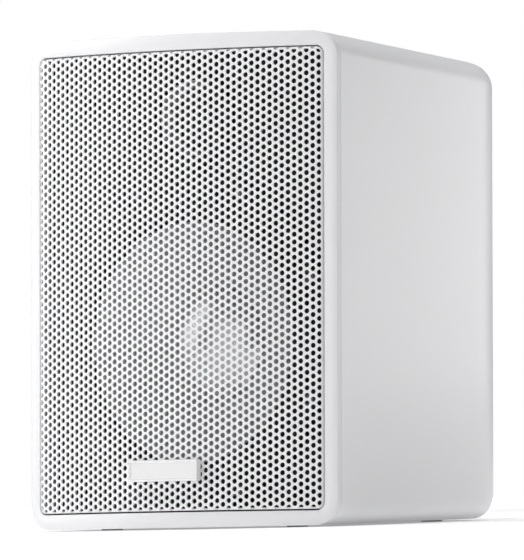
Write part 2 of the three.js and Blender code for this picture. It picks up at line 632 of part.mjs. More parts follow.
const tweeterCoil = ring(tweeterCoilOut - 0.5, tweeterCoilOut, TWEETER_DOME_Y + DOME_T + FIT, canFront + 3);
add('tweeter_coil', turned(tweeterCoil, 0, TWEETER_Z), copper);
const slugR = tweeterCoilOut - 0.5 - RUN_CLEARANCE;
const canInside = tweeterCoilOut + RUN_CLEARANCE;
const canFloor = canFront + TWEETER_CAN_T - 3;
const canBack = canFront + TWEETER_CAN_T;
const canProfile = [
  [canInside, canFront],
  [TWEETER_CAN_R, canFront],
  [TWEETER_CAN_R, canBack],
  [0, canBack],
];
const canHollow = [[0, canFloor], [canInside, canFloor], [canInside, canFront]];
add('tweeter_can', turned([...canHollow, ...canProfile.slice(1)], 0, TWEETER_Z), steel);
add('tweeter_pole_disc', turned(disc(slugR, canFront + 0.2, canFront + 3.2), 0, TWEETER_Z), steel);
add('tweeter_magnet', turned(disc(slugR - 0.4, canFront + 3.2 + FIT, canFloor - FIT), 0, TWEETER_Z), steel);

// ---- Crossover -----------------------------------------------------------------------------------
const boardBack = DEPTH - WALL - BOARD_BACK_GAP;
const boardFront = boardBack - BOARD_T;
const onBoard = boardFront - FIT;
add(
  'crossover_board',
  block([-BOARD_W / 2, BOARD_W / 2], [boardFront, boardBack], [BOARD_Z - BOARD_H / 2, BOARD_Z + BOARD_H / 2]),
  boardGreen,
);
const coil = (name, x, z, outer, inner, height) => {
  add(name, turned(ring(inner, outer, onBoard - height, onBoard), x, z), copper);
};
coil('woofer_inductor', -BOARD_W / 2 + 16, BOARD_Z, 14, 6, 13);
coil('tweeter_inductor', BOARD_W / 2 - 15, BOARD_Z + 6, 11, 4.5, 9);
const capacitor = (name, x, radius, length, finish) => {
  const body = upright(radius, -length / 2, length / 2).translate(x, onBoard - radius, BOARD_Z);
  add(name, body, finish);
};
capacitor('tweeter_capacitor', -BOARD_W / 2 + 38, 6.5, 31, filmYellow);
capacitor('woofer_capacitor', -BOARD_W / 2 + 51, 5, 24, blackPlastic);
add(
  'tweeter_resistor',
  block([BOARD_W / 2 - 26, BOARD_W / 2 - 4], [onBoard - 6.4, onBoard], [BOARD_Z - 18.5, BOARD_Z - 12]),
  ceramic,
);
// Leads run from the board's right edge round the outside of the basket, and up to the tweeter's can.
const leadStart = onBoard - LEAD_R - 1.5;
const LEAD_TURN = 55; // bearing from the top at which the lead meets the basket, in degrees
const besideBasket = (y, clear) => {
  const r = basketWallAt(y) + LEAD_R + clear;
  return [r * Math.sin(LEAD_TURN * DEG), y, WOOFER_Z + r * Math.cos(LEAD_TURN * DEG)];
};
const wooferLead = [
  [BOARD_W / 2 - 4, leadStart, BOARD_Z - 6],
  [46, leadStart - 20, BOARD_Z - 2],
  [52, (leadStart + BASKET_BACK_Y) / 2, BOARD_Z + 4],
  besideBasket(BASKET_BACK_Y + 18, 17),
  besideBasket(BASKET_BACK_Y, 10),
  besideBasket(BASKET_BACK_Y - 9, 0.5),
];
const tweeterLead = [
  [BOARD_W / 2 - 2.5, leadStart, BOARD_Z + 16],
  [40, leadStart - 25, BOARD_Z + 20],
  [38, (leadStart + BASKET_BACK_Y) / 2 - 5, BOARD_Z + 28],
  [34, WOOL_BEHIND_BAFFLE + baffleBack + 18, TWEETER_Z - 35],
  [24, baffleBack + WOOL_BEHIND_BAFFLE, TWEETER_Z - 29],
  [TWEETER_CAN_R - 5, canBack + 2.6, TWEETER_Z - 15],
];
add('woofer_lead', lead(wooferLead, LEAD_R), blackRubber);
add('tweeter_lead', lead(tweeterLead, LEAD_R), blackRubber);

// ---- Back panel ----------------------------------------------------------------------------------
const cupFloorFace = DEPTH - CUP_SINK;
const posts = [
  ['red', -POST_SPACING / 2, postRed],
  ['black', POST_SPACING / 2, blackPlastic],
];
add(
  'terminal_cup',
  cut(
    join(
      prism(cupOutline(CUP_WALL), cupFloorFace - CUP_WALL, DEPTH + 1),
      prism(cupOutline(CUP_FLANGE), DEPTH + FIT, DEPTH + FIT + CUP_FLANGE_T),
    ),
    prism(cupOutline(0), cupFloorFace, DEPTH + OUTSIDE),
    ...posts.map(([, x]) => turned(disc(POST_R + FIT, cupFloorFace - OUTSIDE, DEPTH), x, CUP_Z, SMALL)),
  ),
  blackPlastic,
);
// Post, then a loose pressing washer, then the plastic cap that screws down on both.
const collarBack = cupFloorFace + FIT + COLLAR_T;
const washerFront = collarBack + WIRE_GAP;
const washerBack = washerFront + WASHER_T;
const capFront = washerBack + FIT;
const capBack = capFront + CAP_LENGTH;
posts.forEach(([colour, x, finish]) => {
  const postProfile = [
    [0, cupFloorFace - CUP_WALL - 9],
    [POST_R, cupFloorFace - CUP_WALL - 9],
    [POST_R, cupFloorFace + FIT],
    [COLLAR_R, cupFloorFace + FIT],
    [COLLAR_R, collarBack],
    [POST_R, collarBack],
    [POST_R, capBack - 2.5],
    [0, capBack - 2.5],
  ];
  const wireHole = upright(1, -OUTSIDE, OUTSIDE, 12).translate(x, (collarBack + washerFront) / 2, CUP_Z);
  add(`terminal_post_${colour}`, cut(turned(postProfile, x, CUP_Z, SMALL), wireHole), brass);
  const washer = ring(POST_R + 0.2, COLLAR_R, washerFront, washerBack);
  add(`terminal_washer_${colour}`, turned(washer, x, CUP_Z, SMALL), brass);
  const flutes = Array.from({ length: CAP_FLUTES }, (_, i) => {
    const turn = (i * 360 * DEG) / CAP_FLUTES;
    const [dx, dz] = [Math.sin(turn), Math.cos(turn)].map((share) => share * (KNOB_R + 0.7));
    return turned(disc(1.2, capFront + 2, capBack + 1), x + dx, CUP_Z + dz, 8);
  });
  const knobProfile = [
    [POST_R + 0.2, capFront],
    [KNOB_R, capFront],
    [KNOB_R, capBack - 0.8],
    [KNOB_R - 0.8, capBack],
    [0, capBack],
    [0, capBack - 2],
    [POST_R + 0.2, capBack - 2],
    [POST_R + 0.2, capFront],
  ];
  add(`terminal_cap_${colour}`, cut(turned(knobProfile, x, CUP_Z, 24), ...flutes), finish);
});

const portBack = DEPTH + PORT_LIP_T + FIT;
const portProfile = [
  [PORT_BORE_R, DEPTH - PORT_LENGTH],
  [PORT_BORE_R + PORT_WALL, DEPTH - PORT_LENGTH],
  [PORT_BORE_R + PORT_WALL, DEPTH + FIT],
  [PORT_BORE_R + PORT_LIP, DEPTH + FIT],
  [PORT_BORE_R + PORT_LIP, portBack],
  [PORT_BORE_R + PORT_FLARE, portBack],
  [PORT_BORE_R, portBack - PORT_FLARE],
  [PORT_BORE_R, DEPTH - PORT_LENGTH],
];
add('port_tube', turned(portProfile, 0, PORT_Z), blackPlastic);
const insertFront = DEPTH - INSERT_T + FIT;
const insertProfile = [
  [0, insertFront],
  [INSERT_R, insertFront],
  [INSERT_R, DEPTH - INSERT_RECESS],
  [INSERT_BORE_R, DEPTH - INSERT_RECESS],
  [INSERT_BORE_R, insertFront + INSERT_FLOOR],
  [0, insertFront + INSERT_FLOOR],
];
add('wall_mount_insert', turned(insertProfile, 0, INSERT_Z, SMALL), brass);
const woolFront = baffleBack + WOOL_BEHIND_BAFFLE;
const woolTop = FRONT_TOP - WOOL_DROP;
add(
  'damping_wadding',
  block([-WOOL_W / 2, WOOL_W / 2], [woolFront, woolFront + WOOL_T], [woolTop - WOOL_H, woolTop]),
  polyesterWool,
);

// ---- Stance --------------------------------------------------------------------------------------
// Lean the speaker back onto its tapered base and put the origin under the middle of its box.
model.rotation.x = -LEAN;
const extent = new THREE.Box3().setFromObject(model, true);
const middle = extent.getCenter(new THREE.Vector3());
model.position.set(-middle.x, -middle.y, -extent.min.z);

export default model;
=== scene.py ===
"""Compact two-way bookshelf speaker: a bowed, perforated white grille in a white tapered cabinet."""
import json
import math

import bmesh
import bpy
from mathutils import Matrix, Vector


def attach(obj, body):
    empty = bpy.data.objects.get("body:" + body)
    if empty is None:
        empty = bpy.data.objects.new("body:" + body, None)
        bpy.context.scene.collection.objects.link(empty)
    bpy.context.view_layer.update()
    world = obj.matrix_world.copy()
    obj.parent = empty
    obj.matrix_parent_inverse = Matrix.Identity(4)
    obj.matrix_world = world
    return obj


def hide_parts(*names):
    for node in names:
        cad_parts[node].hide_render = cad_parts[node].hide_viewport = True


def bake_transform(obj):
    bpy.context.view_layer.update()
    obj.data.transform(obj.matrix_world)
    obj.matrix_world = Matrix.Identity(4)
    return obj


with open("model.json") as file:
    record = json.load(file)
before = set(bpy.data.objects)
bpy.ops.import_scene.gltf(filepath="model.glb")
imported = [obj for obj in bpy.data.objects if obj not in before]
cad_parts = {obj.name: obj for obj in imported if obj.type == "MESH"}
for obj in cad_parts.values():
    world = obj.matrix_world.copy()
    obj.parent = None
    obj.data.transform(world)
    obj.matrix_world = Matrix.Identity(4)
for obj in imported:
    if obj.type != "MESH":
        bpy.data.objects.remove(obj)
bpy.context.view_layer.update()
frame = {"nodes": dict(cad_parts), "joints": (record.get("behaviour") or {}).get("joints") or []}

# ---- Stance --------------------------------------------------------------------------------------
# The speaker leans back on its tapered base. Everything is drawn square to the cabinet: x to its
# right seen from the front, y from the foremost line of the grille into it, z up the front.
MM = 0.001
joints = {joint["name"]: joint for joint in frame["joints"]}
into = -Vector(joints["grille_pull"]["axis"]).normalized()
lean = Matrix((Vector((1, 0, 0)), into, Vector((1, 0, 0)).cross(into))).to_4x4()


def span(node, origin=Vector()):
    """Lowest and highest corner of a CAD node along the cabinet's own axes."""
    points = [lean @ v.co - origin for v in frame["nodes"][node].data.vertices]
    return [Vector(pick(p[i] for p in points) for i in range(3)) for pick in (min, max)]


FRONT_MID = -0.5 * MM  # the middle of the front lies this far below the middle of the perforation
sheet_low, sheet_high = span("grille_sheet")
apex = Vector((0, sheet_low.y, (sheet_low.z + sheet_high.z) / 2 - FRONT_MID))
to_row = (Matrix.Translation(-apex) @ lean).inverted()
sheet_low, sheet_high = span("grille_sheet", apex)
shell_high = span("cabinet_shell", apex)[1]


def colour(code):
    """An sRGB hex colour as the linear colour a shader takes."""
    parts = [int(code[i:i + 2], 16) / 255 for i in (0, 2, 4)]
    return tuple(c / 12.92 if c <= 0.04045 else ((c + 0.055) / 1.055) ** 2.4 for c in parts) + (1,)


# ---- Camera --------------------------------------------------------------------------------------
# A long lens far off to the cabinet's right, level with its lower half, upright on the front's edges.
CAMERA_TURN, CAMERA_PITCH, CAMERA_ROLL = (math.radians(a) for a in (-34.73, -2.67, -0.13))
CAMERA_DISTANCE = 4794 * MM
CAMERA_SIDE = 43.85 * MM  # the picture's middle lies this far to the right of the perforation's
LENS = 672.7
turn = (
    Matrix.Rotation(CAMERA_ROLL, 4, "Y")
    @ Matrix.Rotation(CAMERA_PITCH, 4, "X")
    @ Matrix.Rotation(CAMERA_TURN, 4, "Z")
)
camera_data = bpy.data.cameras.new("camera")
camera_data.lens = LENS
camera_data.clip_end = 100
camera = bpy.data.objects.new("camera", camera_data)
bpy.context.scene.collection.objects.link(camera)
upright = Matrix.Rotation(math.pi / 2, 4, "X")
stand_off = Matrix.Translation((CAMERA_SIDE, -CAMERA_DISTANCE, 0))
camera.matrix_world = to_row @ turn.inverted() @ stand_off @ upright
bpy.context.scene.camera = camera

# ---- Floor, room and light -----------------------------------------------------------------------
# A pale floor with a painted glow: its emission is faint under the speaker and rises into a glowing white
# sweep further out, under a wide overhead soft box. The key stands at the front left, with a faint fill in
# front and a small lamp close behind on the right.
WHITE = colour("ffffff")


def add_node(tree, kind, links=None, **settings):
    """Adds a node, sets its properties and sockets, and links sockets of it to other nodes' outputs.
    A setting that names a socket sets that socket, any other one sets a property of the node."""
    node = tree.nodes.new(kind)
    sockets = []
    for key, value in settings.items():
        if hasattr(node, key):
            setattr(node, key, value)
        else:
            sockets.append((key, value))
    for key, value in sockets:
        key = int(key[1:]) if key[0] == "i" and key[1:].isdigit() else key.replace("_", " ")
        node.inputs[key].default_value = value
    for key, output in (links or {}).items():
        tree.links.new(output, node.inputs[key])
    return node


def finish_of(name, base, rough, metal=0.0, build=None, **more):
    """A material on one Principled shader. build(tree, shader) adds what makes it that material."""
    material = bpy.data.materials.new(name)
    material.use_nodes = True
    tree = material.node_tree
    shader = tree.nodes["Principled BSDF"]
    shader.inputs["Base Color"].default_value = colour(base)
    shader.inputs["Roughness"].default_value = rough
    shader.inputs["Metallic"].default_value = metal
    for key, value in more.items():
        shader.inputs[key.replace("_", " ")].default_value = value
    if build:
        build(tree, shader)
    return material


def put(name, mesh, material, body, nodes, angle=35):
    """Stands a mesh drawn square to the cabinet in its place, and lets it stand for CAD nodes."""
    mesh.transform(to_row)
    mesh.polygons.foreach_set("use_smooth", [True] * len(mesh.polygons))
    mesh.set_sharp_from_angle(angle=math.radians(angle))
    mesh.materials.clear()
    mesh.materials.append(material)
    piece = bpy.data.objects.new(name, mesh)
    bpy.context.scene.collection.objects.link(piece)
    if body:
        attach(piece, body)
    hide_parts(*nodes)
    return piece


def mesh_of(name, points, faces):
    """A closed mesh from points in millimetres, welded and facing outwards."""
    mesh = bpy.data.meshes.new(name)
    mesh.from_pydata([Vector(p) * MM for p in points], [], faces)
    work = bmesh.new()
    work.from_mesh(mesh)
    bmesh.ops.remove_doubles(work, verts=work.verts, dist=1e-6)
    bmesh.ops.recalc_face_normals(work, faces=work.faces)
    work.to_mesh(mesh)
    work.free()
    return mesh


world = bpy.data.worlds.new("white_room")
bpy.context.scene.world = world
world.use_nodes = True
ROOM_LIGHT = 8.33e-09
room = world.node_tree
seen = add_node(room, "ShaderNodeLightPath")
strength = add_node(room, "ShaderNodeMapRange", {"Value": seen.outputs["Is Camera Ray"]}, To_Min=ROOM_LIGHT,
                    To_Max=1.0)
room.nodes["Background"].inputs["Color"].default_value = WHITE
room.links.new(strength.outputs["Result"], room.nodes["Background"].inputs["Strength"])
bpy.context.scene.view_settings.view_transform = "Standard"

FLOOR_SIDE = 2.4
floor_mesh = bpy.data.meshes.new("floor")
half = FLOOR_SIDE / 2
corners = [(-half, -half, 0), (half, -half, 0), (half, half, 0), (-half, half, 0)]
SWEEP_FROM, SWEEP_TO = 0.5, 1.0  # metres from the speaker between which the floor's painted glow brightens
FLOOR_GLOW = 0.14  # emission of the floor under the speaker, where the sweep's is 1
floor_mesh.from_pydata(corners, [], [(0, 1, 2, 3)])


def sweep(tree, shader):
    """The matt floor's painted glow: its emission rises from faint under the speaker to full white further
    out, so the floor has no edge against the white room.
    """
    place = add_node(tree, "ShaderNodeTexCoord")
    away = add_node(tree, "ShaderNodeVectorMath", {0: place.outputs["Object"]}, operation="LENGTH")
    glow = add_node(tree, "ShaderNodeMapRange", {"Value": away.outputs["Value"]},
                    interpolation_type="SMOOTHSTEP",
                    From_Min=SWEEP_FROM, From_Max=SWEEP_TO, To_Min=FLOOR_GLOW, To_Max=1.0)
    tree.links.new(glow.outputs["Result"], shader.inputs["Emission Strength"])


# The floor's material carries a painted glow (emission) on top of its pale paint.
floor_mesh.materials.append(
    finish_of("studio_floor_with_painted_glow", "fafafa", 0.9, build=sweep, Emission_Color=WHITE))
floor = bpy.data.objects.new("floor", floor_mesh)
bpy.context.scene.collection.objects.link(floor)


def soft_box(name, bearing, height, distance, size, power):
    """A square light panel at a bearing in degrees from the front, + to the cabinet's right."""
    data = bpy.data.lights.new(name, "AREA")
    data.size = size
    data.energy = power
    lamp = bpy.data.objects.new(name, data)
    a = math.radians(bearing)
    lamp.location = (distance * math.sin(a), -distance * math.cos(a), height)
    lamp.rotation_mode = "QUATERNION"
    lamp.rotation_quaternion = (Vector((0, 0, 0.11)) - lamp.location).to_track_quat("-Z", "Y")
    lamp.visible_camera = False
    bpy.context.scene.collection.objects.link(lamp)


soft_box("key_light", bearing=-62, height=0.8, distance=2.0, size=1.4, power=21.5)
soft_box("front_fill", bearing=-5, height=0.35, distance=2.2, size=1.6, power=10.1)
soft_box("overhead", bearing=0, height=1.7, distance=0.02, size=1.8, power=31.8)
soft_box("rear_fill", bearing=142, height=0.16, distance=0.36, size=0.22, power=0.26)

# ---- Cabinet shell -------------------------------------------------------------------------------
# Injection-moulded plastic sprayed with white lacquer. It tapers to the back, with wide upright
# corners there, and its flat base carries four rubber feet. It is glued to the front frame.
frame_low, frame_high = (v / MM for v in span("front_frame", apex))
HALF_WIDTH = frame_high.x
TOP = frame_high.z
BOTTOM = frame_low.z
BACK = shell_high.y / MM
WALL = 3
FRONT_RADIUS = 305  # plan radius of the bowed front
DRAFT_SIDE, DRAFT_TOP, DRAFT_BASE = 0.044, 0.053, 0.04
EDGE_R = 11.5
BACK_CORNER_R = 42
CORNER_STEPS = 14
STRAIGHT_STEPS = 28


def bow(x, behind):
    """Depth at x of the surface that lies `behind` mm behind the bowed front."""
    return FRONT_RADIUS - math.sqrt((FRONT_RADIUS - behind) ** 2 - x * x)


def rounded(half_w, bottom, top, radius):
    """Closed outline of a rounded rectangle, with points along its top and bottom for the bow."""
    points = []
    for side_x, side_z, start in ((1, 1, 0), (-1, 1, 90), (-1, -1, 180), (1, -1, 270)):
        centre = Vector((side_x * (half_w - radius), top - radius if side_z > 0 else bottom + radius))
        for i in range(CORNER_STEPS + 1):
            a = math.radians(start + 90 * i / CORNER_STEPS)
            points.append(centre + radius * Vector((math.cos(a), math.sin(a))))
        if start in (0, 180):
            end, goal = points[-1], Vector((-points[-1].x, points[-1].y))
            points += [end.lerp(goal, k / STRAIGHT_STEPS) for k in range(1, STRAIGHT_STEPS)]
    return points


def back_round(y, radius, depth):
    """How far a wall has turned in at depth y, on its way round a corner of that radius."""
    past = max(0, y - (depth - radius))
    return radius - math.sqrt(max(0, radius * radius - past * past))


def cabinet_outline(y, inset):
    """The cabinet's outline at depth y, or that of a surface lying `inset` mm inside it."""
    depth = BACK - inset
    end = back_round(y, EDGE_R - inset, depth)
    side = DRAFT_SIDE * (y - bow(HALF_WIDTH, 0)) + back_round(y, BACK_CORNER_R - inset, depth)
    top, bottom = TOP - inset - DRAFT_TOP * y - end, BOTTOM + inset + DRAFT_BASE * y + end
    return rounded(HALF_WIDTH - inset - side, bottom, top, EDGE_R - inset)


def bowed_ring(inset, behind):
    """The cabinet's outline where it meets the surface `behind` mm behind the bowed front."""
    ring = []
    for i, near in enumerate(cabinet_outline(0, inset)):
        y = bow(near.x, behind)
        p = cabinet_outline(y, inset)[i]
        ring.append((p.x, bow(p.x, behind), p.y))
    return ring


def flat_ring(y, inset):
    return [(p.x, y, p.y) for p in cabinet_outline(y, inset)]


def skin(rings, ends=False, loop=False):
    """Points and faces of a surface through rings of equally many points."""
    count = len(rings[0])
    points = [p for ring in rings for p in ring]
    faces = []
    for k in range(len(rings) if loop else len(rings) - 1):
        a, b = k * count, (k + 1) % len(rings) * count
        faces += [(a + i, a + (i + 1) % count, b + (i + 1) % count, b + i) for i in range(count)]
    if ends:
        faces += [tuple(range(count)), tuple(range(len(points) - count, len(points)))]
    return points, faces


def turned_mesh(name, profile, x, z, steps=96):
    """A body turned about a line along y through (x, z). The profile is [radius, y] points."""
    closed = profile[0] == profile[-1]
    rows = profile[:-1] if closed else profile
    spin = [2 * math.pi * i / steps for i in range(steps)]
    rings = [[(x + r * math.sin(a), y, z + r * math.cos(a)) for a in spin] for r, y in rows]
    return mesh_of(name, *skin(rings, loop=closed))


def sink(mesh, *cutters):
    """The mesh with the cutters' shapes cut out of it."""
    piece = bpy.data.objects.new("blank", mesh)
    bpy.context.scene.collection.objects.link(piece)
    tools = []
    for cutter in cutters:
        tool = bpy.data.objects.new("cutter", cutter)
        bpy.context.scene.collection.objects.link(tool)
        modifier = piece.modifiers.new("cut", "BOOLEAN")
        modifier.solver = "EXACT"
        modifier.object = tool
        tools.append(tool)
    graph = bpy.context.evaluated_depsgraph_get()
    result = bpy.data.meshes.new_from_object(piece.evaluated_get(graph))
    for spent in [piece, *tools]:
        bpy.data.objects.remove(spent)
    return result


def lacquer_grain(tree, shader):
    """Sprayed lacquer levels out with a faint orange peel, and its sheen varies a little."""
    place = add_node(tree, "ShaderNodeTexCoord")
    peel = add_node(tree, "ShaderNodeTexNoise", {"Vector": place.outputs["Object"]}, Scale=1 / (2.2 * MM),
                    Detail=2)
    bump = add_node(tree, "ShaderNodeBump", {"Height": peel.outputs["Fac"]}, Strength=0.06,
                    Distance=0.05 * MM)
    tree.links.new(bump.outputs["Normal"], shader.inputs["Normal"])
    cloud = add_node(tree, "ShaderNodeTexNoise", {"Vector": place.outputs["Object"]}, Scale=1 / (45 * MM),
                     Detail=3)
    sheen = add_node(tree, "ShaderNodeMapRange", {"Value": cloud.outputs["Fac"]}, To_Min=0.33, To_Max=0.42)
    tree.links.new(sheen.outputs["Result"], shader.inputs["Roughness"])


white_lacquer = finish_of("sprayed_white_lacquer", "efeff1", 0.38, build=lacquer_grain, Coat_Weight=0.15,
                          Coat_Roughness=0.2)

FRAME_SETBACK = 0.6  # frame's face behind the grille's face
LIP = 2.4  # thickness of the frame's border
GAP = 0.3
rim = FRAME_SETBACK + LIP + GAP
EDGE_BREAK = 0.4
quarter = [math.radians(90 * k / 12) for k in range(13)]
depths = {BACK - BACK_CORNER_R + BACK_CORNER_R * math.sin(a) for a in quarter}
depths |= {BACK - EDGE_R + EDGE_R * math.sin(a) for a in quarter}
outer = [bowed_ring(EDGE_BREAK, rim), bowed_ring(0, rim + EDGE_BREAK)]
outer += [flat_ring(min(y, BACK), 0) for y in [24, 60, 100, *sorted(depths)]]
inner_back = BACK - WALL
inner = [flat_ring(y, WALL) for y in (24, inner_back - BACK_CORNER_R + WALL)]
inner += [flat_ring(inner_back - (BACK_CORNER_R - WALL) * (1 - math.sin(a)), WALL) for a in quarter[1:]]
shell_points, shell_faces = skin([*reversed(inner), bowed_ring(WALL, rim), *outer], ends=True)
shell_mesh = mesh_of("cabinet_shell", shell_points, shell_faces)


def centre_of(node):
    low, high = span(node, apex)
    return (low + high) / 2 / MM


port_axis = centre_of("port_tube").z
cup_low, cup_high = (v / MM for v in span("terminal_cup", apex))
insert_axis = centre_of("wall_mount_insert").z
PORT_OUT_R = 17
CUP_FLANGE, CUP_WALL, CUP_CORNER = 5, 2, 6
cup_half = (cup_high.x - cup_low.x) / 2 - CUP_FLANGE
cup_bottom, cup_top = cup_low.z + CUP_FLANGE, cup_high.z - CUP_FLANGE


def cup_ring(grow, y):
    outline = rounded(cup_half + grow, cup_bottom - grow, cup_top + grow, CUP_CORNER + grow)
    return [(p.x, y, p.y) for p in outline]


far = BACK + 20
hole = turned_mesh("port_hole", [(0, BACK - 20), (PORT_OUT_R + GAP, BACK - 20), (PORT_OUT_R + GAP, far),
                                 (0, far)], 0, port_axis)
recess = mesh_of("cup_hole",
                 *skin([cup_ring(CUP_WALL + GAP, BACK - 20), cup_ring(CUP_WALL + GAP, far)], ends=True))
socket = turned_mesh("insert_hole", [(0, BACK - 10), (5 + GAP, BACK - 10), (5 + GAP, far), (0, far)], 0,
                     insert_axis)
put("cabinet", sink(shell_mesh, hole, recess, socket), white_lacquer, "cabinet", ["cabinet_shell"])

# ---- Front frame ---------------------------------------------------------------------------------
# A second moulding in the same lacquer: a narrow bowed border, and behind it a deep well that the
# grille drops into. It is glued to the shell's rim, with a fine parting line between them.
well_back = frame_high.y
BORDER_SIDE, BORDER_END, OPENING_R, WELL_WALL = 6.3, 7.2, 4, 2


def opening_ring(grow, behind=None, y=None):
    """The grille's opening, grown by so much, on a bowed surface or at a flat depth."""
    half_w = HALF_WIDTH - BORDER_SIDE + grow
    outline = rounded(half_w, BOTTOM + BORDER_END - grow, TOP - BORDER_END + grow, OPENING_R + grow)
    return [(p.x, bow(p.x, behind) if y is None else y, p.y) for p in outline]


lip_back = FRAME_SETBACK + LIP
soft = EDGE_BREAK * 0.29
frame_rings = [
    bowed_ring(0, lip_back),
    bowed_ring(0, FRAME_SETBACK + EDGE_BREAK),
    bowed_ring(soft, FRAME_SETBACK + soft),
    bowed_ring(EDGE_BREAK, FRAME_SETBACK),
    opening_ring(EDGE_BREAK, FRAME_SETBACK),
    opening_ring(soft, FRAME_SETBACK + soft),
    opening_ring(0, FRAME_SETBACK + EDGE_BREAK),
    opening_ring(0, y=well_back),
    opening_ring(WELL_WALL, y=well_back),
    opening_ring(WELL_WALL, lip_back),
]
put("front_border", mesh_of("front_border", *skin(frame_rings, loop=True)), white_lacquer, "cabinet",
    ["front_frame"])

# ---- Grille sheet --------------------------------------------------------------------------------
# Perforated steel 0.8 mm thick, its 2.5 mm holes 3.5 mm apart in staggered columns. It is rolled to
# the front's bow, its edge is turned back all round, and it is powder-coated white.
HOLE_R = 1.25
HOLE_SIDES = 10
PITCH = 3.5  # along a column
COLUMN = PITCH * math.sqrt(3) / 2  # from one column to the next
SHEET_T = 0.8
HOLED_COLUMNS = 53  # every second one has a hole fewer
HOLES = 60
BEND_R = 1.2
BEND_CORNER = 2.1
BEND_CUTS = 3
BEND_HALF_W = FRONT_RADIUS * math.asin((sheet_high.x / MM) / FRONT_RADIUS) - BEND_R
BEND_HALF_H = (sheet_high.z - sheet_low.z) / 2 / MM - BEND_R
SHEET_MID = (sheet_high.z + sheet_low.z) / 2 / MM


def cell(name, height, hole_sides=0):
    """One cell of the sheet, flat in x and y. A full one has a corner halfway up each side too."""
    w, h = COLUMN / 2, height / 2
    outline = [(w, -h), (w, h), (-w, h), (-w, -h)]
    if height == PITCH:
        outline = [(w, -h), (w, 0), (w, h), (-w, h), (-w, 0), (-w, -h)]
    turns = [2 * math.pi * (i + 0.5) / hole_sides for i in range(hole_sides)]
    hole = [(HOLE_R * math.cos(a), HOLE_R * math.sin(a)) for a in turns]
    work = bmesh.new()
    for loop in filter(None, (outline, hole)):
        verts = [work.verts.new(Vector((x, y, 0)) * MM) for x, y in loop]
        for a, b in zip(verts, verts[1:] + verts[:1]):
            work.edges.new((a, b))
    bmesh.ops.triangle_fill(work, edges=work.edges, use_beauty=True, normal=(0, 0, 1))
    for face in work.faces:
        if face.normal.z < 0:
            face.normal_flip()
    mesh = bpy.data.meshes.new(name)
    work.to_mesh(mesh)
    work.free()
    return mesh


def tree_with(name, **sockets):
    """An empty Geometry Nodes tree with these named inputs and one mesh as its output."""
    tree = bpy.data.node_groups.new(name, "GeometryNodeTree")
    for label, kind in sockets.items():
        tree.interface.new_socket(label.replace("_", " "), in_out="INPUT", socket_type="NodeSocket" + kind)
    tree.interface.new_socket("Mesh", in_out="OUTPUT", socket_type="NodeSocketGeometry")
    return tree, add_node(tree, "NodeGroupInput").outputs


def end_tree(tree, points, unit, material):
    """Ends a tree with a copy of the unit on each point, made real and given its material."""
    source = add_node(tree, "GeometryNodeObjectInfo", {"Object": unit}).outputs["Geometry"]
    copies = add_node(tree, "GeometryNodeInstanceOnPoints", {"Points": points, "Instance": source})
    real = add_node(tree, "GeometryNodeRealizeInstances", {"Geometry": copies.outputs["Instances"]})
    coated = add_node(tree, "GeometryNodeSetMaterial", {"Geometry": real.outputs[0], "Material": material})
    add_node(tree, "NodeGroupOutput", {"Mesh": coated.outputs[0]})


def grown(tree, unit, **inputs):
    """The plain mesh that a tree makes of a unit mesh. Its inputs are set by their identifiers."""
    stock = bpy.data.objects.new("unit", unit)
    carrier = bpy.data.objects.new("carrier", bpy.data.meshes.new("carrier"))
    for thing in (stock, carrier):
        bpy.context.scene.collection.objects.link(thing)
    modifier = carrier.modifiers.new("grow", "NODES")
    modifier.node_group = tree
    sockets = {s.name: s.identifier for s in tree.interface.items_tree if s.in_out == "INPUT"}
    for label, value in {**inputs, "Unit": stock}.items():
        modifier[sockets[label.replace("_", " ")]] = value
    bpy.context.view_layer.update()
    graph = bpy.context.evaluated_depsgraph_get()
    result = bpy.data.meshes.new_from_object(carrier.evaluated_get(graph))
    carrier.modifiers.clear()
    for spent in (carrier, stock):
        bpy.data.objects.remove(spent)
    return result


def powder_grain(tree, shader):
    """Powder coat cures with a fine pebbled skin. Its 0.6 mm grain is drawn a little coarse to show."""
    place = add_node(tree, "ShaderNodeTexCoord")
    pebble = add_node(tree, "ShaderNodeTexNoise", {"Vector": place.outputs["Object"]}, Scale=1 / (0.6 * MM),
                      Detail=2)
    bump = add_node(tree, "ShaderNodeBump", {"Height": pebble.outputs["Fac"]}, Strength=0.15,
                    Distance=0.04 * MM)
    tree.links.new(bump.outputs["Normal"], shader.inputs["Normal"])
    tone = add_node(tree, "ShaderNodeMapRange", {"Value": pebble.outputs["Fac"]}, To_Min=0.42, To_Max=0.52)
    tree.links.new(tone.outputs["Result"], shader.inputs["Roughness"])


powder_coat = finish_of("white_powder_coat_on_steel", "f6f6f7", 0.46, build=powder_grain)
tiling, given = tree_with(
    "tiling", Unit="Object", Columns="Int", Rows="Int", Across="Float", Along="Float", Material="Material")
spans = []
for count, pitch in (("Columns", "Across"), ("Rows", "Along")):
    gaps = add_node(tree=tiling, kind="ShaderNodeMath", links={0: given[count]}, operation="SUBTRACT", i1=1)
    spans.append(add_node(tiling, "ShaderNodeMath", {0: gaps.outputs[0], 1: given[pitch]},
                          operation="MULTIPLY"))
lattice = add_node(tiling, "GeometryNodeMeshGrid", {
    "Size X": spans[0].outputs[0], "Size Y": spans[1].outputs[0],
    "Vertices X": given["Columns"], "Vertices Y": given["Rows"]})
end_tree(tiling, lattice.outputs["Mesh"], given["Unit"], given["Material"])

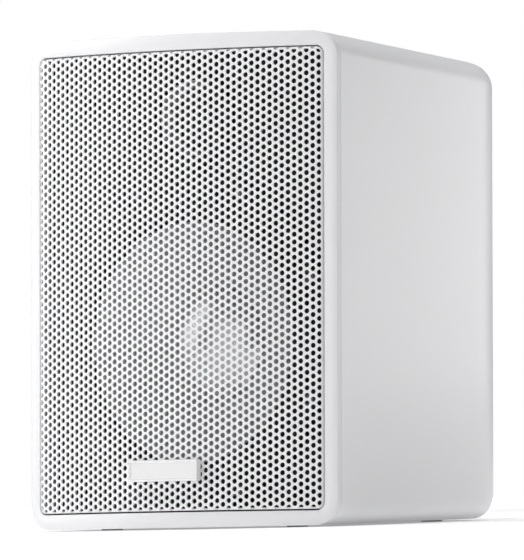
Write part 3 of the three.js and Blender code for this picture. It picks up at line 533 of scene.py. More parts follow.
holed, plain, plain_end = cell("holed", PITCH,
                               HOLE_SIDES), cell("plain", PITCH), cell("plain_end", PITCH / 2)
even, odd = (HOLED_COLUMNS + 1) // 2, HOLED_COLUMNS // 2
edge_across = (HOLED_COLUMNS + 1) * COLUMN
end_along = (HOLES + 1.5) * PITCH
work = bmesh.new()
for unit, columns, rows, across, along in (
    (holed, even, HOLES, 2 * COLUMN, PITCH),
    (holed, odd, HOLES + 1, 2 * COLUMN, PITCH),
    (plain, even, 2, 2 * COLUMN, (HOLES + 1) * PITCH),
    (plain_end, odd, 2, 2 * COLUMN, end_along),
    (plain, 2, HOLES + 1, edge_across, PITCH),
    (plain_end, 2, 2, edge_across, end_along),
):
    work.from_mesh(grown(
        tiling, unit, Columns=columns, Rows=rows, Across=across * MM, Along=along * MM,
        Material=powder_coat))
bmesh.ops.remove_doubles(work, verts=work.verts, dist=0.01 * MM)
for axis, start, middle in ((0, BEND_HALF_W, 0), (1, BEND_HALF_H, SHEET_MID)):
    for k in range(BEND_CUTS + 1):
        for side in (-1, 1):
            at = Vector()
            at[axis] = (middle + side * (start + BEND_R * math.pi / 2 * k / BEND_CUTS)) * MM
            across = Vector((axis == 0, axis == 1, 0))
            parts = [*work.verts, *work.edges, *work.faces]
            bmesh.ops.bisect_plane(work, geom=parts, dist=1e-7, plane_co=at, plane_no=across)
for vert in work.verts:
    flat = Vector((vert.co.x / MM, vert.co.y / MM - SHEET_MID))
    limit = Vector((BEND_HALF_W - BEND_CORNER, BEND_HALF_H - BEND_CORNER))
    core = Vector(max(-m, min(m, c)) for c, m in zip(flat, limit))
    out = flat - core
    past = max(0, out.length - BEND_CORNER)
    angle = min(past / BEND_R, math.pi / 2)
    reach = min(out.length, BEND_CORNER) + BEND_R * math.sin(angle)
    place = core + (out.normalized() * reach if out.length > 0 else out)
    depth = BEND_R * (1 - math.cos(angle)) + max(0, past - BEND_R * math.pi / 2)
    a = place.x / FRONT_RADIUS
    y = FRONT_RADIUS * (1 - math.cos(a)) + depth
    vert.co = Vector((FRONT_RADIUS * math.sin(a), y, place.y + SHEET_MID)) * MM
sheet_mesh = bpy.data.meshes.new("sheet")
work.to_mesh(sheet_mesh)
work.free()


def worked(mesh, kind, **settings):
    """The mesh after one modifier."""
    piece = bpy.data.objects.new("blank", mesh)
    bpy.context.scene.collection.objects.link(piece)
    modifier = piece.modifiers.new("work", kind)
    for key, value in settings.items():
        setattr(modifier, key, value)
    graph = bpy.context.evaluated_depsgraph_get()
    result = bpy.data.meshes.new_from_object(piece.evaluated_get(graph))
    bpy.data.objects.remove(piece)
    return result


sheet_mesh = worked(sheet_mesh, "SOLIDIFY", thickness=SHEET_T * MM, offset=-1)
put("perforated_grille", sheet_mesh, powder_coat, "grille", ["grille_sheet"], angle=40)

# ---- Badge plate ---------------------------------------------------------------------------------
# A plain blank plate of aluminium under a pearl lacquer, its face sunk a little inside a raised
# edge. Two spots of adhesive hold it to the sheet.
badge_low, badge_high = (v / MM for v in span("badge_plate", apex))
BADGE_CORNER, BADGE_EDGE, BADGE_SINK, BADGE_EASE = 0.8, 0.9, 0.3, 0.25


def badge_ring(inset, y):
    outline = rounded(badge_high.x - inset, badge_low.z + inset, badge_high.z - inset,
                      max(0.1, BADGE_CORNER - inset))
    return [(p.x, y, p.y) for p in outline]


def polished(tree, shader):
    """Buffed metal keeps hairlines along the plate, seen as a slight streak in its shine."""
    place = add_node(tree, "ShaderNodeTexCoord")
    streak = add_node(tree, "ShaderNodeMapping", {"Vector": place.outputs["Object"]},
                      Scale=(60, 4000, 4000))
    hair = add_node(tree, "ShaderNodeTexNoise", {"Vector": streak.outputs["Vector"]}, Scale=1, Detail=2)
    shine = add_node(tree, "ShaderNodeMapRange", {"Value": hair.outputs["Fac"]}, To_Min=0.25, To_Max=0.38)
    tree.links.new(shine.outputs["Result"], shader.inputs["Roughness"])


face_y, back_y = badge_low.y, badge_high.y
badge_rings = [
    badge_ring(0, back_y),
    badge_ring(0, face_y + BADGE_EASE),
    badge_ring(BADGE_EASE, face_y),
    badge_ring(BADGE_EDGE, face_y),
    badge_ring(BADGE_EDGE + BADGE_EASE, face_y + BADGE_SINK),
]
pearl_badge = finish_of("pearl_lacquered_aluminium", "fafafb", 0.3, 0.15, polished, Coat_Weight=0.5,
                        Coat_Roughness=0.1)
badge_mesh = mesh_of("badge", *skin(badge_rings, ends=True))
put("badge", badge_mesh, pearl_badge, "grille", ["badge_plate"])

# ---- Grille pegs ---------------------------------------------------------------------------------
# Four moulded black nylon pegs, bonded to the back of the sheet by their feet. Their tips press into
# the baffle.


def eased(profile, size=0.25):
    """A profile of [radius, y] points with each sharp corner off the axis taken off a little."""
    closed = profile[0] == profile[-1]
    rows = [Vector(p) for p in (profile[:-1] if closed else profile)]
    result = []
    for i, here in enumerate(rows):
        if not closed and i in (0, len(rows) - 1) or here.x == 0:
            result.append(tuple(here))
            continue
        before, after = rows[i - 1] - here, rows[(i + 1) % len(rows)] - here
        bend = math.pi - before.angle(after)
        if bend < math.radians(25):
            result.append(tuple(here))
            continue
        for arm in (before, after):
            result.append(tuple(here + arm.normalized() * min(size, 0.3 * arm.length)))
    return result + result[:1] if closed else result


def ring(inner, outer, y0, y1):
    return [(inner, y0), (outer, y0), (outer, y1), (inner, y1), (inner, y0)]


def disc(radius, y0, y1):
    return [(0, y0), (radius, y0), (radius, y1), (0, y1)]


def moulded(grain, depth):
    """Moulded plastic or rubber takes the fine spark-eroded grain of its mould."""
    def build(tree, shader):
        place = add_node(tree, "ShaderNodeTexCoord")
        spark = add_node(tree, "ShaderNodeTexNoise", {"Vector": place.outputs["Object"]},
                         Scale=1 / (grain * MM), Detail=4)
        bump = add_node(tree, "ShaderNodeBump", {"Height": spark.outputs["Fac"]}, Strength=0.3,
                        Distance=depth * MM)
        tree.links.new(bump.outputs["Normal"], shader.inputs["Normal"])
        rough = shader.inputs["Roughness"].default_value
        sheen = add_node(tree, "ShaderNodeMapRange", {"Value": spark.outputs["Fac"]}, To_Min=rough - 0.07,
                         To_Max=rough + 0.07)
        tree.links.new(sheen.outputs["Result"], shader.inputs["Roughness"])
    return build


black_nylon = finish_of("moulded_black_nylon", "222223", 0.45, build=moulded(0.4, 0.05))
PEG_R, PEG_FOOT_R = 2.2, 4
for corner in ("top_left", "top_right", "bottom_left", "bottom_right"):
    node = "grille_peg_" + corner
    low, high = (v / MM for v in span(node, apex))
    at = (low + high) / 2
    peg = eased([(0, low.y), (PEG_FOOT_R, low.y), (PEG_FOOT_R, low.y + 1.2), (PEG_R + 0.6, low.y + 3),
                 (PEG_R, high.y - 4.4), (PEG_R, high.y - 1), (PEG_R - 0.8, high.y), (0, high.y)])
    put("peg_" + corner, turned_mesh("peg", peg, at.x, at.z, 40), black_nylon, "grille", [node])

# ---- Feet ----------------------------------------------------------------------------------------
# Four grey rubber discs pressed into sockets in the sloping base, with a dished underside.
grey_rubber = finish_of("grey_silicone_rubber", "8d8e90", 0.75, build=moulded(0.5, 0.06))
FOOT_R, FOOT_STAND, FOOT_IN = 5, 0.8, 0.9
for place in ("front_left", "front_right", "rear_left", "rear_right"):
    node = "foot_" + place
    corners = [v.co / MM for v in frame["nodes"][node].data.vertices]
    x, y = ((min(c[i] for c in corners) + max(c[i] for c in corners)) / 2 for i in (0, 1))
    foot = eased([(0, 0.15), (FOOT_R - 1.2, 0.15), (FOOT_R - 0.8, 0), (FOOT_R, 0),
                  (FOOT_R, FOOT_STAND + FOOT_IN), (0, FOOT_STAND + FOOT_IN)], 0.3)
    foot_mesh = turned_mesh("foot", foot, 0, 0, 48)
    upright_foot = Matrix.Translation(Vector((x, y, 0)) * MM) @ Matrix.Rotation(math.pi / 2, 4, "X")
    foot_mesh.transform(to_row.inverted() @ upright_foot)
    put(node + "_pad", foot_mesh, grey_rubber, "cabinet", [node])

# ---- Baffle --------------------------------------------------------------------------------------
# A flat plate of black moulded plastic, bonded to a ledge in the shell. Both drive units screw to it.
black_abs = finish_of("moulded_black_abs", "0e0e0f", 0.55, build=moulded(0.5, 0.07))


def keep_node(node, material):
    """A CAD node whose shape is right keeps it, and takes a material."""
    mesh = frame["nodes"][node].data
    mesh.materials.clear()
    mesh.materials.append(material)


keep_node("baffle", black_abs)

# ---- Woofer basket -------------------------------------------------------------------------------
# A pressed steel basket, black-coated, with six windows in its wall. Its flange seats on the baffle.
woofer_axis = centre_of("woofer_cone").z
basket_low, basket_high = (v / MM for v in span("woofer_basket", apex))
FLANGE_R = (basket_high.x - basket_low.x) / 2
BASKET_R = FLANGE_R - 12.4
FLANGE_T = 2.6
flange_front, basket_back = basket_low.y, basket_high.y
flange_back = flange_front + FLANGE_T
SPIDER_R, SPIDER_Y = 38, 50.5
WINDOWS = 6
WOOFER_BOLTS = 8
BOLT_RING_R = FLANGE_R - 4.1
BOLT_START = 22.5  # degrees from the top to the first bolt
BASKET_HOLE_R = 24  # the basket is open behind the coil


def coated(tree, shader):
    """Electrocoat or zinc over steel is satin, with a faint texture from the press."""
    place = add_node(tree, "ShaderNodeTexCoord")
    press = add_node(tree, "ShaderNodeTexNoise", {"Vector": place.outputs["Object"]}, Scale=1 / (1.5 * MM),
                     Detail=3)
    bump = add_node(tree, "ShaderNodeBump", {"Height": press.outputs["Fac"]}, Strength=0.2,
                    Distance=0.05 * MM)
    tree.links.new(bump.outputs["Normal"], shader.inputs["Normal"])
    tone = add_node(tree, "ShaderNodeMapRange", {"Value": press.outputs["Fac"]}, To_Min=0.33, To_Max=0.45)
    tree.links.new(tone.outputs["Result"], shader.inputs["Roughness"])


black_steel = finish_of("black_electrocoated_steel", "1b1b1d", 0.4, 0.3, coated)
shelf = SPIDER_Y + 1.1
basket_profile = eased([
    (FLANGE_R, flange_front), (FLANGE_R, flange_back), (BASKET_R, flange_back), (BASKET_R, flange_back + 7),
    (SPIDER_R + 4, basket_back - 3.7), (SPIDER_R + 4, basket_back), (BASKET_HOLE_R, basket_back),
    (BASKET_HOLE_R, basket_back - 2.5),
    (SPIDER_R + 1, basket_back - 2.5), (SPIDER_R + 1, basket_back - 4.7), (SPIDER_R - 0.4, shelf + 1.8),
    (SPIDER_R - 3, shelf + 1.8), (SPIDER_R - 3, shelf), (SPIDER_R + 4.2, shelf),
    (BASKET_R - 2.4, flange_back + 6), (BASKET_R - 2.4, flange_front), (FLANGE_R, flange_front)], 0.4)
WINDOW_HALF, WINDOW_FROM, WINDOW_TO = 17, flange_back + 9, shelf - 2.5


def window(turn):
    """The shape cut out of the basket's wall for one window."""
    corners = [(-WINDOW_HALF, SPIDER_R), (WINDOW_HALF, SPIDER_R), (WINDOW_HALF, BASKET_R + 4),
               (-WINDOW_HALF, BASKET_R + 4)]
    rings = []
    for y in (WINDOW_FROM, WINDOW_TO):
        spun = [Matrix.Rotation(turn, 2) @ Vector(c) for c in corners]
        rings.append([(p.x, y, woofer_axis + p.y) for p in spun])
    return mesh_of("window", *skin(rings, ends=True))


def bored(holes, radius, y0, y1, z):
    """Cutting rods along y at a ring of holes round an axis."""
    return [turned_mesh("bore", disc(radius, y0, y1), x, z + dz, 24) for x, dz in holes]


def bolt_circle(count, radius, start):
    turns = [math.radians(start + 360 * i / count) for i in range(count)]
    return [(radius * math.sin(a), radius * math.cos(a)) for a in turns]


woofer_holes = bolt_circle(WOOFER_BOLTS, BOLT_RING_R, BOLT_START)
basket_mesh = sink(
    turned_mesh("basket", basket_profile, 0, woofer_axis, 128),
    *[window(2 * math.pi * (i + 0.5) / WINDOWS) for i in range(WINDOWS)],
    *bored(woofer_holes, 2, flange_front - 1, flange_back + 1, woofer_axis))
put("woofer_frame", basket_mesh, black_steel, "cabinet", ["woofer_basket"], angle=30)

# ---- Drive unit screws ---------------------------------------------------------------------------
# Dull zinc-plated pan-head screws with a hexagon socket, eight through the woofer's flange, three through the
# tweeter's.
circle_of, given = tree_with("bolt_circle", Unit="Object", Count="Int", Radius="Float", Material="Material")
bolts = add_node(circle_of, "GeometryNodeMeshCircle",
                 {"Vertices": given["Count"], "Radius": given["Radius"]})
end_tree(circle_of, bolts.outputs["Mesh"], given["Unit"], given["Material"])


zinc_plate = finish_of("dull_zinc_plated_screw", "77777a", 0.32, 0.85, coated)


def screw(seat, shank_r, head_r, length, steps=28):
    """One screw, drawn square to the cabinet on the line through the origin."""
    head = seat - 2.3
    profile = eased([(0, head), (head_r * 0.8, head), (head_r, head + 0.9), (head_r, head + 2),
                     (shank_r, head + 2),
                     (shank_r, seat + length - shank_r), (0, seat + length)], 0.2)
    socket = turned_mesh("socket", disc(head_r * 0.5, head - 1, head + 1.2), 0, 0, 6)
    return sink(turned_mesh("screw", profile, 0, 0, steps), socket)


def screws(name, nodes, unit, radius, axis, start):
    """A ring of screws as one piece. The ring is laid out flat, then stood up and turned to start."""
    flat = Matrix.Rotation(-math.pi / 2, 4, "X")
    unit.transform(flat)
    circle = grown(circle_of, unit, Count=len(nodes), Radius=radius * MM, Material=zinc_plate)
    first = Matrix.Rotation(math.radians(90 - start), 4, "Z")
    circle.transform(Matrix.Translation((0, 0, axis * MM)) @ flat.inverted() @ first)
    put(name, circle, zinc_plate, "cabinet", nodes, angle=30)


WOOFER_SCREWS = ["woofer_screw_%d" % (i + 1) for i in range(WOOFER_BOLTS)]
screws("woofer_screws", WOOFER_SCREWS, screw(flange_front, 1.7, 3.4, 9), BOLT_RING_R, woofer_axis, BOLT_START)

# ---- Woofer surround -----------------------------------------------------------------------------
# A half-roll of butyl rubber, glued to the flange outside and to the cone inside. It rolls as the cone
# travels, but here it is drawn at rest and belongs to no moving body.
CONE_EDGE_Y, ROLL_RISE, SURROUND_T = 21, 3.6, 0.8
CONE_R = BASKET_R - 10.1 - GAP
rim_y = flange_front - GAP - SURROUND_T
roll_in = CONE_R + GAP + 0.8
ROLL_STEPS = 28
roll = [(CONE_R + GAP, CONE_EDGE_Y)]
for i in range(ROLL_STEPS + 1):
    share = i / ROLL_STEPS
    y = CONE_EDGE_Y + (rim_y - CONE_EDGE_Y) * share - ROLL_RISE * math.sin(math.pi * share)
    roll.append((roll_in + (BASKET_R - roll_in) * (1 - math.cos(math.pi * share)) / 2, y))
roll.append((BASKET_R + 3, rim_y))


def strip(line, thickness):
    """A line of [radius, y] points given a thickness, as a closed profile."""
    return [*line, *[(r, y + thickness) for r, y in reversed(line)], line[0]]


butyl = finish_of("butyl_rubber", "1a1a1b", 0.62, build=moulded(0.6, 0.05))
surround_mesh = turned_mesh("surround", strip(roll, SURROUND_T), 0, woofer_axis, 144)
surround = put("surround", surround_mesh, butyl, None, ["woofer_surround"])
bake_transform(surround)

# ---- Woofer cone and dust cap --------------------------------------------------------------------
# Spun aluminium foil, silver, with faint tooling rings round its axis. The dust cap is pressed from
# smoother foil and glued over the neck.


def square_to(tree, x, z):
    """Object coordinates turned square to the cabinet, centred on the line along y through (x, z)."""
    place = add_node(tree, "ShaderNodeTexCoord")
    middle = to_row @ (Vector((x, 0, z)) * MM)
    return add_node(tree, "ShaderNodeMapping", {"Vector": place.outputs["Object"]}, vector_type="TEXTURE",
                    Location=middle, Rotation=to_row.to_euler()).outputs["Vector"]


def from_axis(tree, square):
    flat = add_node(tree, "ShaderNodeVectorMath", {0: square}, operation="MULTIPLY", i1=(1, 0, 1))
    return add_node(tree, "ShaderNodeVectorMath", {0: flat.outputs["Vector"]},
                    operation="LENGTH").outputs["Value"]


def waves(tree, distance, pitch):
    """A sine of a distance, one wave for each pitch."""
    phase = add_node(tree, "ShaderNodeMath", {0: distance}, operation="MULTIPLY",
                     i1=2 * math.pi / (pitch * MM))
    return add_node(tree, "ShaderNodeMath", {0: phase.outputs[0]}, operation="SINE").outputs[0]


def turned_marks(x, z, pitch, depth, sheen):
    """Spun or lathe-turned metal keeps fine rings round its axis, drawn coarse enough to show."""
    def build(tree, shader):
        square = square_to(tree, x, z)
        rings = waves(tree, from_axis(tree, square), pitch)
        bump = add_node(tree, "ShaderNodeBump", {"Height": rings}, Strength=0.25, Distance=depth * MM)
        tree.links.new(bump.outputs["Normal"], shader.inputs["Normal"])
        cloud = add_node(tree, "ShaderNodeTexNoise", {"Vector": square}, Scale=1 / (9 * MM), Detail=3)
        tone = add_node(tree, "ShaderNodeMapRange", {"Value": cloud.outputs["Fac"]}, To_Min=sheen[0],
                        To_Max=sheen[1])
        tree.links.new(tone.outputs["Result"], shader.inputs["Roughness"])
    return build


cone_foil = finish_of("spun_aluminium_foil", "aeb0b3", 0.46, 0.85,
                      turned_marks(0, woofer_axis, 0.9, 0.02, (0.42, 0.52)))
cap_foil = finish_of("pressed_aluminium_foil", "dcdee1", 0.24, 0.95,
                     turned_marks(0, woofer_axis, 1.4, 0.008, (0.2, 0.28)))
FORMER_R, FORMER_T, CONE_NECK_Y, CONE_T = 13.2, 0.3, 47, 0.8
neck_r = FORMER_R + FORMER_T + GAP
cone_depth = CONE_NECK_Y - CONE_EDGE_Y
cone_line = [(CONE_R + (neck_r - CONE_R) * k / 12, CONE_EDGE_Y + cone_depth * k / 12) for k in range(13)]
cone_mesh = turned_mesh("cone", strip(cone_line, CONE_T), 0, woofer_axis, 160)
put("cone", cone_mesh, cone_foil, "woofer_motion", ["woofer_cone"])
CAP_R, CAP_RISE, CAP_T = 26.5, 8, 0.6
cap_edge = CONE_EDGE_Y + (CONE_R - CAP_R) * cone_depth / (CONE_R - neck_r) - GAP - CAP_T


def dome(radius, edge_y, rise, steps):
    """A shallow dome over a circle, from its crown to its edge."""
    sphere = (radius * radius + rise * rise) / (2 * rise)
    half_turn = math.asin(radius / sphere)
    turns = [half_turn * i / steps for i in range(steps + 1)]
    return [(sphere * math.sin(a), edge_y - rise + sphere * (1 - math.cos(a))) for a in turns]


def shell(line, thickness):
    return [*line, *[(r, y + thickness) for r, y in reversed(line)]]


cap_mesh = turned_mesh("dust_cap", shell(dome(CAP_R, cap_edge, CAP_RISE, 24), CAP_T), 0, woofer_axis, 128)
put("dust_cap", cap_mesh, cap_foil, "woofer_motion", ["woofer_dust_cap"])

# ---- Spider --------------------------------------------------------------------------------------
# Corrugated cotton cloth stiffened with resin, glued to a shelf in the basket and to the former. It centres
# the coil and flexes as the cone travels, but here it is drawn at rest and belongs to no moving body.


def weave(thread):
    """Plain-woven cloth, one thread over and one under."""
    def build(tree, shader):
        square = add_node(tree, "ShaderNodeSeparateXYZ", {"Vector": square_to(tree, 0, 0)})
        warp, weft = (waves(tree, square.outputs[axis], 2 * thread) for axis in ("X", "Z"))
        cross = add_node(tree, "ShaderNodeMath", {0: warp, 1: weft}, operation="MULTIPLY")
        bump = add_node(tree, "ShaderNodeBump", {"Height": cross.outputs[0]}, Strength=0.5,
                        Distance=0.15 * MM)
        tree.links.new(bump.outputs["Normal"], shader.inputs["Normal"])
    return build


spider_cloth = finish_of("resin_stiffened_cotton", "c9a25c", 0.85, build=weave(0.5))
WAVES, SPIDER_DISH, SPIDER_WAVE, SPIDER_T = 3, 3, 0.8, 0.8
WAVE_STEPS = 14
spider_in = neck_r + 0.5
spider_line = []
for i in range(WAVES * WAVE_STEPS + 1):
    share = i / (WAVES * WAVE_STEPS)
    y = SPIDER_Y + SPIDER_DISH * (1 - share) + SPIDER_WAVE * math.sin(2 * math.pi * share * WAVES)
    spider_line.append((spider_in + (SPIDER_R - spider_in) * share, y))
spider_mesh = turned_mesh("spider", strip(spider_line, SPIDER_T), 0, woofer_axis, 112)
spider = put("spider", spider_mesh, spider_cloth, None, ["woofer_spider"])
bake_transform(spider)

# ---- Voice coil ----------------------------------------------------------------------------------
# An aluminium former glued to the cone's neck, wound in two layers with enamelled copper wire.


def wound(x, z, wire):
    """Wire wound round an axis shows as rings on the sides and ends of the coil."""
    def build(tree, shader):
        square = square_to(tree, x, z)
        along = add_node(tree, "ShaderNodeSeparateXYZ", {"Vector": square}).outputs["Y"]
        sides, faces = waves(tree, along, wire), waves(tree, from_axis(tree, square), wire)
        both = add_node(tree, "ShaderNodeMath", {0: sides, 1: faces}, operation="ADD")
        bump = add_node(tree, "ShaderNodeBump", {"Height": both.outputs[0]}, Strength=0.6,
                        Distance=wire * 0.25 * MM)
        tree.links.new(bump.outputs["Normal"], shader.inputs["Normal"])
    return build


former_metal = finish_of("aluminium_former", "c6c8ca", 0.35, 1,
                         turned_marks(0, woofer_axis, 0.5, 0.01, (0.3, 0.4)))
voice_copper = finish_of("enamelled_voice_coil_wire", "b4693a", 0.35, 0.9, wound(0, woofer_axis, 0.4))
FORMER_BACK = 71
former = eased(ring(FORMER_R, FORMER_R + FORMER_T, CONE_NECK_Y - 2, FORMER_BACK), 0.05)
put("former", turned_mesh("former", former, 0, woofer_axis, 96), former_metal, "woofer_motion",
    ["woofer_former"])
winding_r = FORMER_R + FORMER_T + 0.3
WINDING_T, WINDING_FRONT = 0.7, 60
winding = eased(ring(winding_r, winding_r + WINDING_T, WINDING_FRONT, FORMER_BACK - 0.6), 0.2)
put("winding", turned_mesh("winding", winding, 0, woofer_axis, 96), voice_copper, "woofer_motion",
    ["woofer_winding"])

# ---- Woofer magnet -------------------------------------------------------------------------------
# A ferrite ring between two zinc-plated steel plates. The rear plate carries the vented pole.
plated = finish_of("zinc_plated_steel", "b4b6b9", 0.35, 1,
                   turned_marks(0, woofer_axis, 1.1, 0.02, (0.3, 0.42)))
ferrite = finish_of("sintered_ferrite", "2b2b2d", 0.7, build=moulded(0.8, 0.12))
gap_r = winding_r + WINDING_T + 0.5
PLATE_R, MAGNET_R, POLE_R, VENT_R = 38, 42, 12.7, 4
PLATE_FRONT, PLATE_BACK, MAGNET_BACK, POLE_BACK = 62, 67, 83.3, 89.6
plate = eased(ring(gap_r, PLATE_R, PLATE_FRONT, PLATE_BACK), 0.5)
put("top_plate", turned_mesh("plate", plate, 0, woofer_axis), plated, "cabinet", ["woofer_top_plate"])
magnet = eased(ring(gap_r + 5, MAGNET_R, PLATE_BACK + GAP, MAGNET_BACK), 0.8)
put("ferrite_ring", turned_mesh("magnet", magnet, 0, woofer_axis), ferrite, "cabinet", ["woofer_magnet"])
pole = eased([(VENT_R, PLATE_FRONT), (POLE_R, PLATE_FRONT), (POLE_R, MAGNET_BACK + GAP),
              (PLATE_R, MAGNET_BACK + GAP), (PLATE_R, POLE_BACK), (VENT_R, POLE_BACK),
              (VENT_R, PLATE_FRONT)], 0.5)
put("pole_plate", turned_mesh("pole", pole, 0, woofer_axis), plated, "cabinet", ["woofer_pole_plate"])

# ---- Tweeter -------------------------------------------------------------------------------------
# A 25 mm dome of coated silk on its own coil, behind a black moulded faceplate. A bright aluminium
# ring lines the faceplate's throat, and a steel can behind holds a small strong magnet.
tweeter_axis = centre_of("tweeter_dome").z
face_low, face_high = (v / MM for v in span("tweeter_faceplate", apex))
TWEETER_R = (face_high.x - face_low.x) / 2
DOME_Y, THROAT_R, MOUTH_R, TRIM_Y, BODY_R = 29, 15, 17.5, 20.5, 18.9
faceplate = eased([
    (TWEETER_R, face_low.y + 0.5), (TWEETER_R, flange_back), (BODY_R, flange_back), (BODY_R, face_high.y),
    (THROAT_R + 1.2, face_high.y), (THROAT_R + 1.2, DOME_Y + GAP), (MOUTH_R + GAP, DOME_Y + GAP),
    (MOUTH_R + GAP, TRIM_Y - 0.8), (MOUTH_R + 1.2, face_low.y), (TWEETER_R - 0.5, face_low.y),
    (TWEETER_R, face_low.y + 0.5)])
TWEETER_BOLTS, TWEETER_BOLT_RING_R = 3, TWEETER_R - 2.6
tweeter_holes = bolt_circle(TWEETER_BOLTS, TWEETER_BOLT_RING_R, 0)
faceplate_mesh = sink(
    turned_mesh("faceplate", faceplate, 0, tweeter_axis),
    *bored(tweeter_holes, 1.4, face_low.y - 1, flange_back + 1, tweeter_axis))
put("tweeter_face", faceplate_mesh, black_abs, "cabinet", ["tweeter_faceplate"], angle=30)
TWEETER_SCREWS = ["tweeter_screw_%d" % (i + 1) for i in range(TWEETER_BOLTS)]
screws("tweeter_screws", TWEETER_SCREWS, screw(face_low.y, 1.1, 2.1, 8, 24), TWEETER_BOLT_RING_R,
       tweeter_axis, 0)
trim = eased([(MOUTH_R, TRIM_Y), (MOUTH_R, DOME_Y), (THROAT_R, DOME_Y), (THROAT_R, DOME_Y - 0.8),
              (MOUTH_R - 0.4, TRIM_Y), (MOUTH_R, TRIM_Y)], 0.12)
trim_metal = finish_of("satin_turned_aluminium", "f4f5f7", 0.42, 0.6,
                       turned_marks(0, tweeter_axis, 0.7, 0.01, (0.36, 0.48)))
put("trim_ring", turned_mesh("trim", trim, 0, tweeter_axis, 128), trim_metal, "cabinet",
    ["tweeter_trim_ring"])
silk = finish_of("coated_silk", "1b1b1c", 0.6, build=weave(0.35), Sheen_Weight=0.3)
DOME_R, DOME_RISE, DOME_T = 12.7, 4.6, 0.4
roll_turns = [math.pi * k / 8 for k in range(1, 9)]
dome_roll = [(DOME_R + 0.95 * (1 - math.cos(a)), DOME_Y - 0.7 * math.sin(a)) for a in roll_turns]
dome_line = [*dome(DOME_R, DOME_Y, DOME_RISE, 18), *dome_roll]
dome_mesh = turned_mesh("dome", shell(dome_line, DOME_T), 0, tweeter_axis, 96)
put("silk_dome", dome_mesh, silk, "tweeter_motion", ["tweeter_dome"])
fine_copper = finish_of("enamelled_tweeter_wire", "b4693a", 0.35, 0.9, wound(0, tweeter_axis, 0.3))
COIL_R, COIL_T, COIL_FRONT, COIL_BACK = 12.1, 0.5, 29.7, 34.3
coil_ring = eased(ring(COIL_R, COIL_R + COIL_T, COIL_FRONT, COIL_BACK), 0.1)
coil_mesh = turned_mesh("coil", coil_ring, 0, tweeter_axis)
put("dome_coil", coil_mesh, fine_copper, "tweeter_motion", ["tweeter_coil"])
can_metal = finish_of("zinc_plated_can", "b4b6b9", 0.35, 1,
                      turned_marks(0, tweeter_axis, 1.1, 0.02, (0.3, 0.42)))
CAN_R, CAN_BORE_R, CAN_FRONT, CAN_FLOOR, CAN_BACK = 18.6, 13.1, 31.3, 45.3, 48.3
can_profile = eased([(0, CAN_FLOOR), (CAN_BORE_R, CAN_FLOOR), (CAN_BORE_R, CAN_FRONT), (CAN_R, CAN_FRONT),
                     (CAN_R, CAN_BACK), (0, CAN_BACK)], 0.5)
put("magnet_can", turned_mesh("can", can_profile, 0, tweeter_axis), can_metal, "cabinet", ["tweeter_can"])
POLE_DISC_R, POLE_DISC_FRONT, POLE_DISC_BACK, SLUG_R = 11.6, 31.5, 34.5, 11.2
pole_disc = eased(disc(POLE_DISC_R, POLE_DISC_FRONT, POLE_DISC_BACK))
put("pole_disc", turned_mesh("pole_disc", pole_disc, 0, tweeter_axis), can_metal, "cabinet",
    ["tweeter_pole_disc"])
slug = eased(disc(SLUG_R, POLE_DISC_BACK + GAP, CAN_FLOOR - GAP), 0.4)
put("neodymium_disc", turned_mesh("disc", slug, 0, tweeter_axis), can_metal, "cabinet",
    ["tweeter_magnet"])

# ---- Crossover board -----------------------------------------------------------------------------
# A fibreglass board with tinned tracks, carrying two air-cored coils, two capacitors and a resistor.


def tracks(tree, shader):
    """Green solder mask over glass cloth, with tracks seen through it as paler bands."""
    place = square_to(tree, 0, 0)
    turned_flat = add_node(tree, "ShaderNodeMapping", {"Vector": place}, Rotation=(math.pi / 2, 0, 0))
    bands = add_node(tree, "ShaderNodeTexBrick", {"Vector": turned_flat.outputs["Vector"]},
                     Scale=1 / (14 * MM),
                     Color1=colour("1f6a3e"), Color2=colour("216f42"), Mortar=colour("4c9a68"),
                     Mortar_Size=0.05)
    tree.links.new(bands.outputs["Color"], shader.inputs["Base Color"])


keep_node("crossover_board", finish_of("solder_masked_fibreglass", "1f6a3e", 0.4, build=tracks))


def coil_of(name, node, wire):
    """An air-cored coil, wound to the size of its CAD solid."""
    low, high = (v / MM for v in span(node, apex))
    at = (low + high) / 2
    outer = (high.x - low.x) / 2
    copper = finish_of("enamelled_wire_" + name, "b4693a", 0.35, 0.9, wound(at.x, at.z, wire))
    profile = eased(ring(outer * 0.42, outer, low.y, high.y), 1)
    put(name, turned_mesh(name, profile, at.x, at.z), copper, "cabinet", [node])


coil_of("woofer_choke", "woofer_inductor", 0.9)
coil_of("tweeter_choke", "tweeter_inductor", 0.7)


def upright_can(name, node, material, groove):
    """An upright round component, with a rolled groove near one end where it has one."""
    low, high = (v / MM for v in span(node, apex))
    at, r, half = (low + high) / 2, (high.x - low.x) / 2, (high.z - low.z) / 2
    neck = [(r, half - 3.4), (r - groove, half - 2.8), (r, half - 2.2)] if groove else []
    profile = eased([(0, -half), (r, -half), *neck, (r, half), (0, half)], 0.6)
    mesh = turned_mesh(name, profile, 0, 0, 64)
    mesh.transform(Matrix.Translation(at * MM) @ Matrix.Rotation(math.pi / 2, 4, "X"))
    put(name, mesh, material, "cabinet", [node])


film_wrap = finish_of("polyester_film_wrap", "b8892f", 0.3, build=moulded(2, 0.05), Coat_Weight=0.4)
sleeve = finish_of("shrunk_pvc_sleeve", "1a1b1f", 0.35, build=moulded(1.5, 0.03))
upright_can("film_capacitor", "tweeter_capacitor", film_wrap, 0)
upright_can("bipolar_capacitor", "woofer_capacitor", sleeve, 0.5)
keep_node("tweeter_resistor", finish_of("cement_filled_ceramic", "e7e4da", 0.8, build=moulded(0.7, 0.15)))
cable_sleeve = finish_of("pvc_cable_sleeve", "1c1c1e", 0.45, build=moulded(1, 0.04))
keep_node("woofer_lead", cable_sleeve)
keep_node("tweeter_lead", cable_sleeve)

# ---- Damping wadding -----------------------------------------------------------------------------
# A loose pad of polyester fibre behind the drive units. It crowns in the middle and its corners
# pull in.


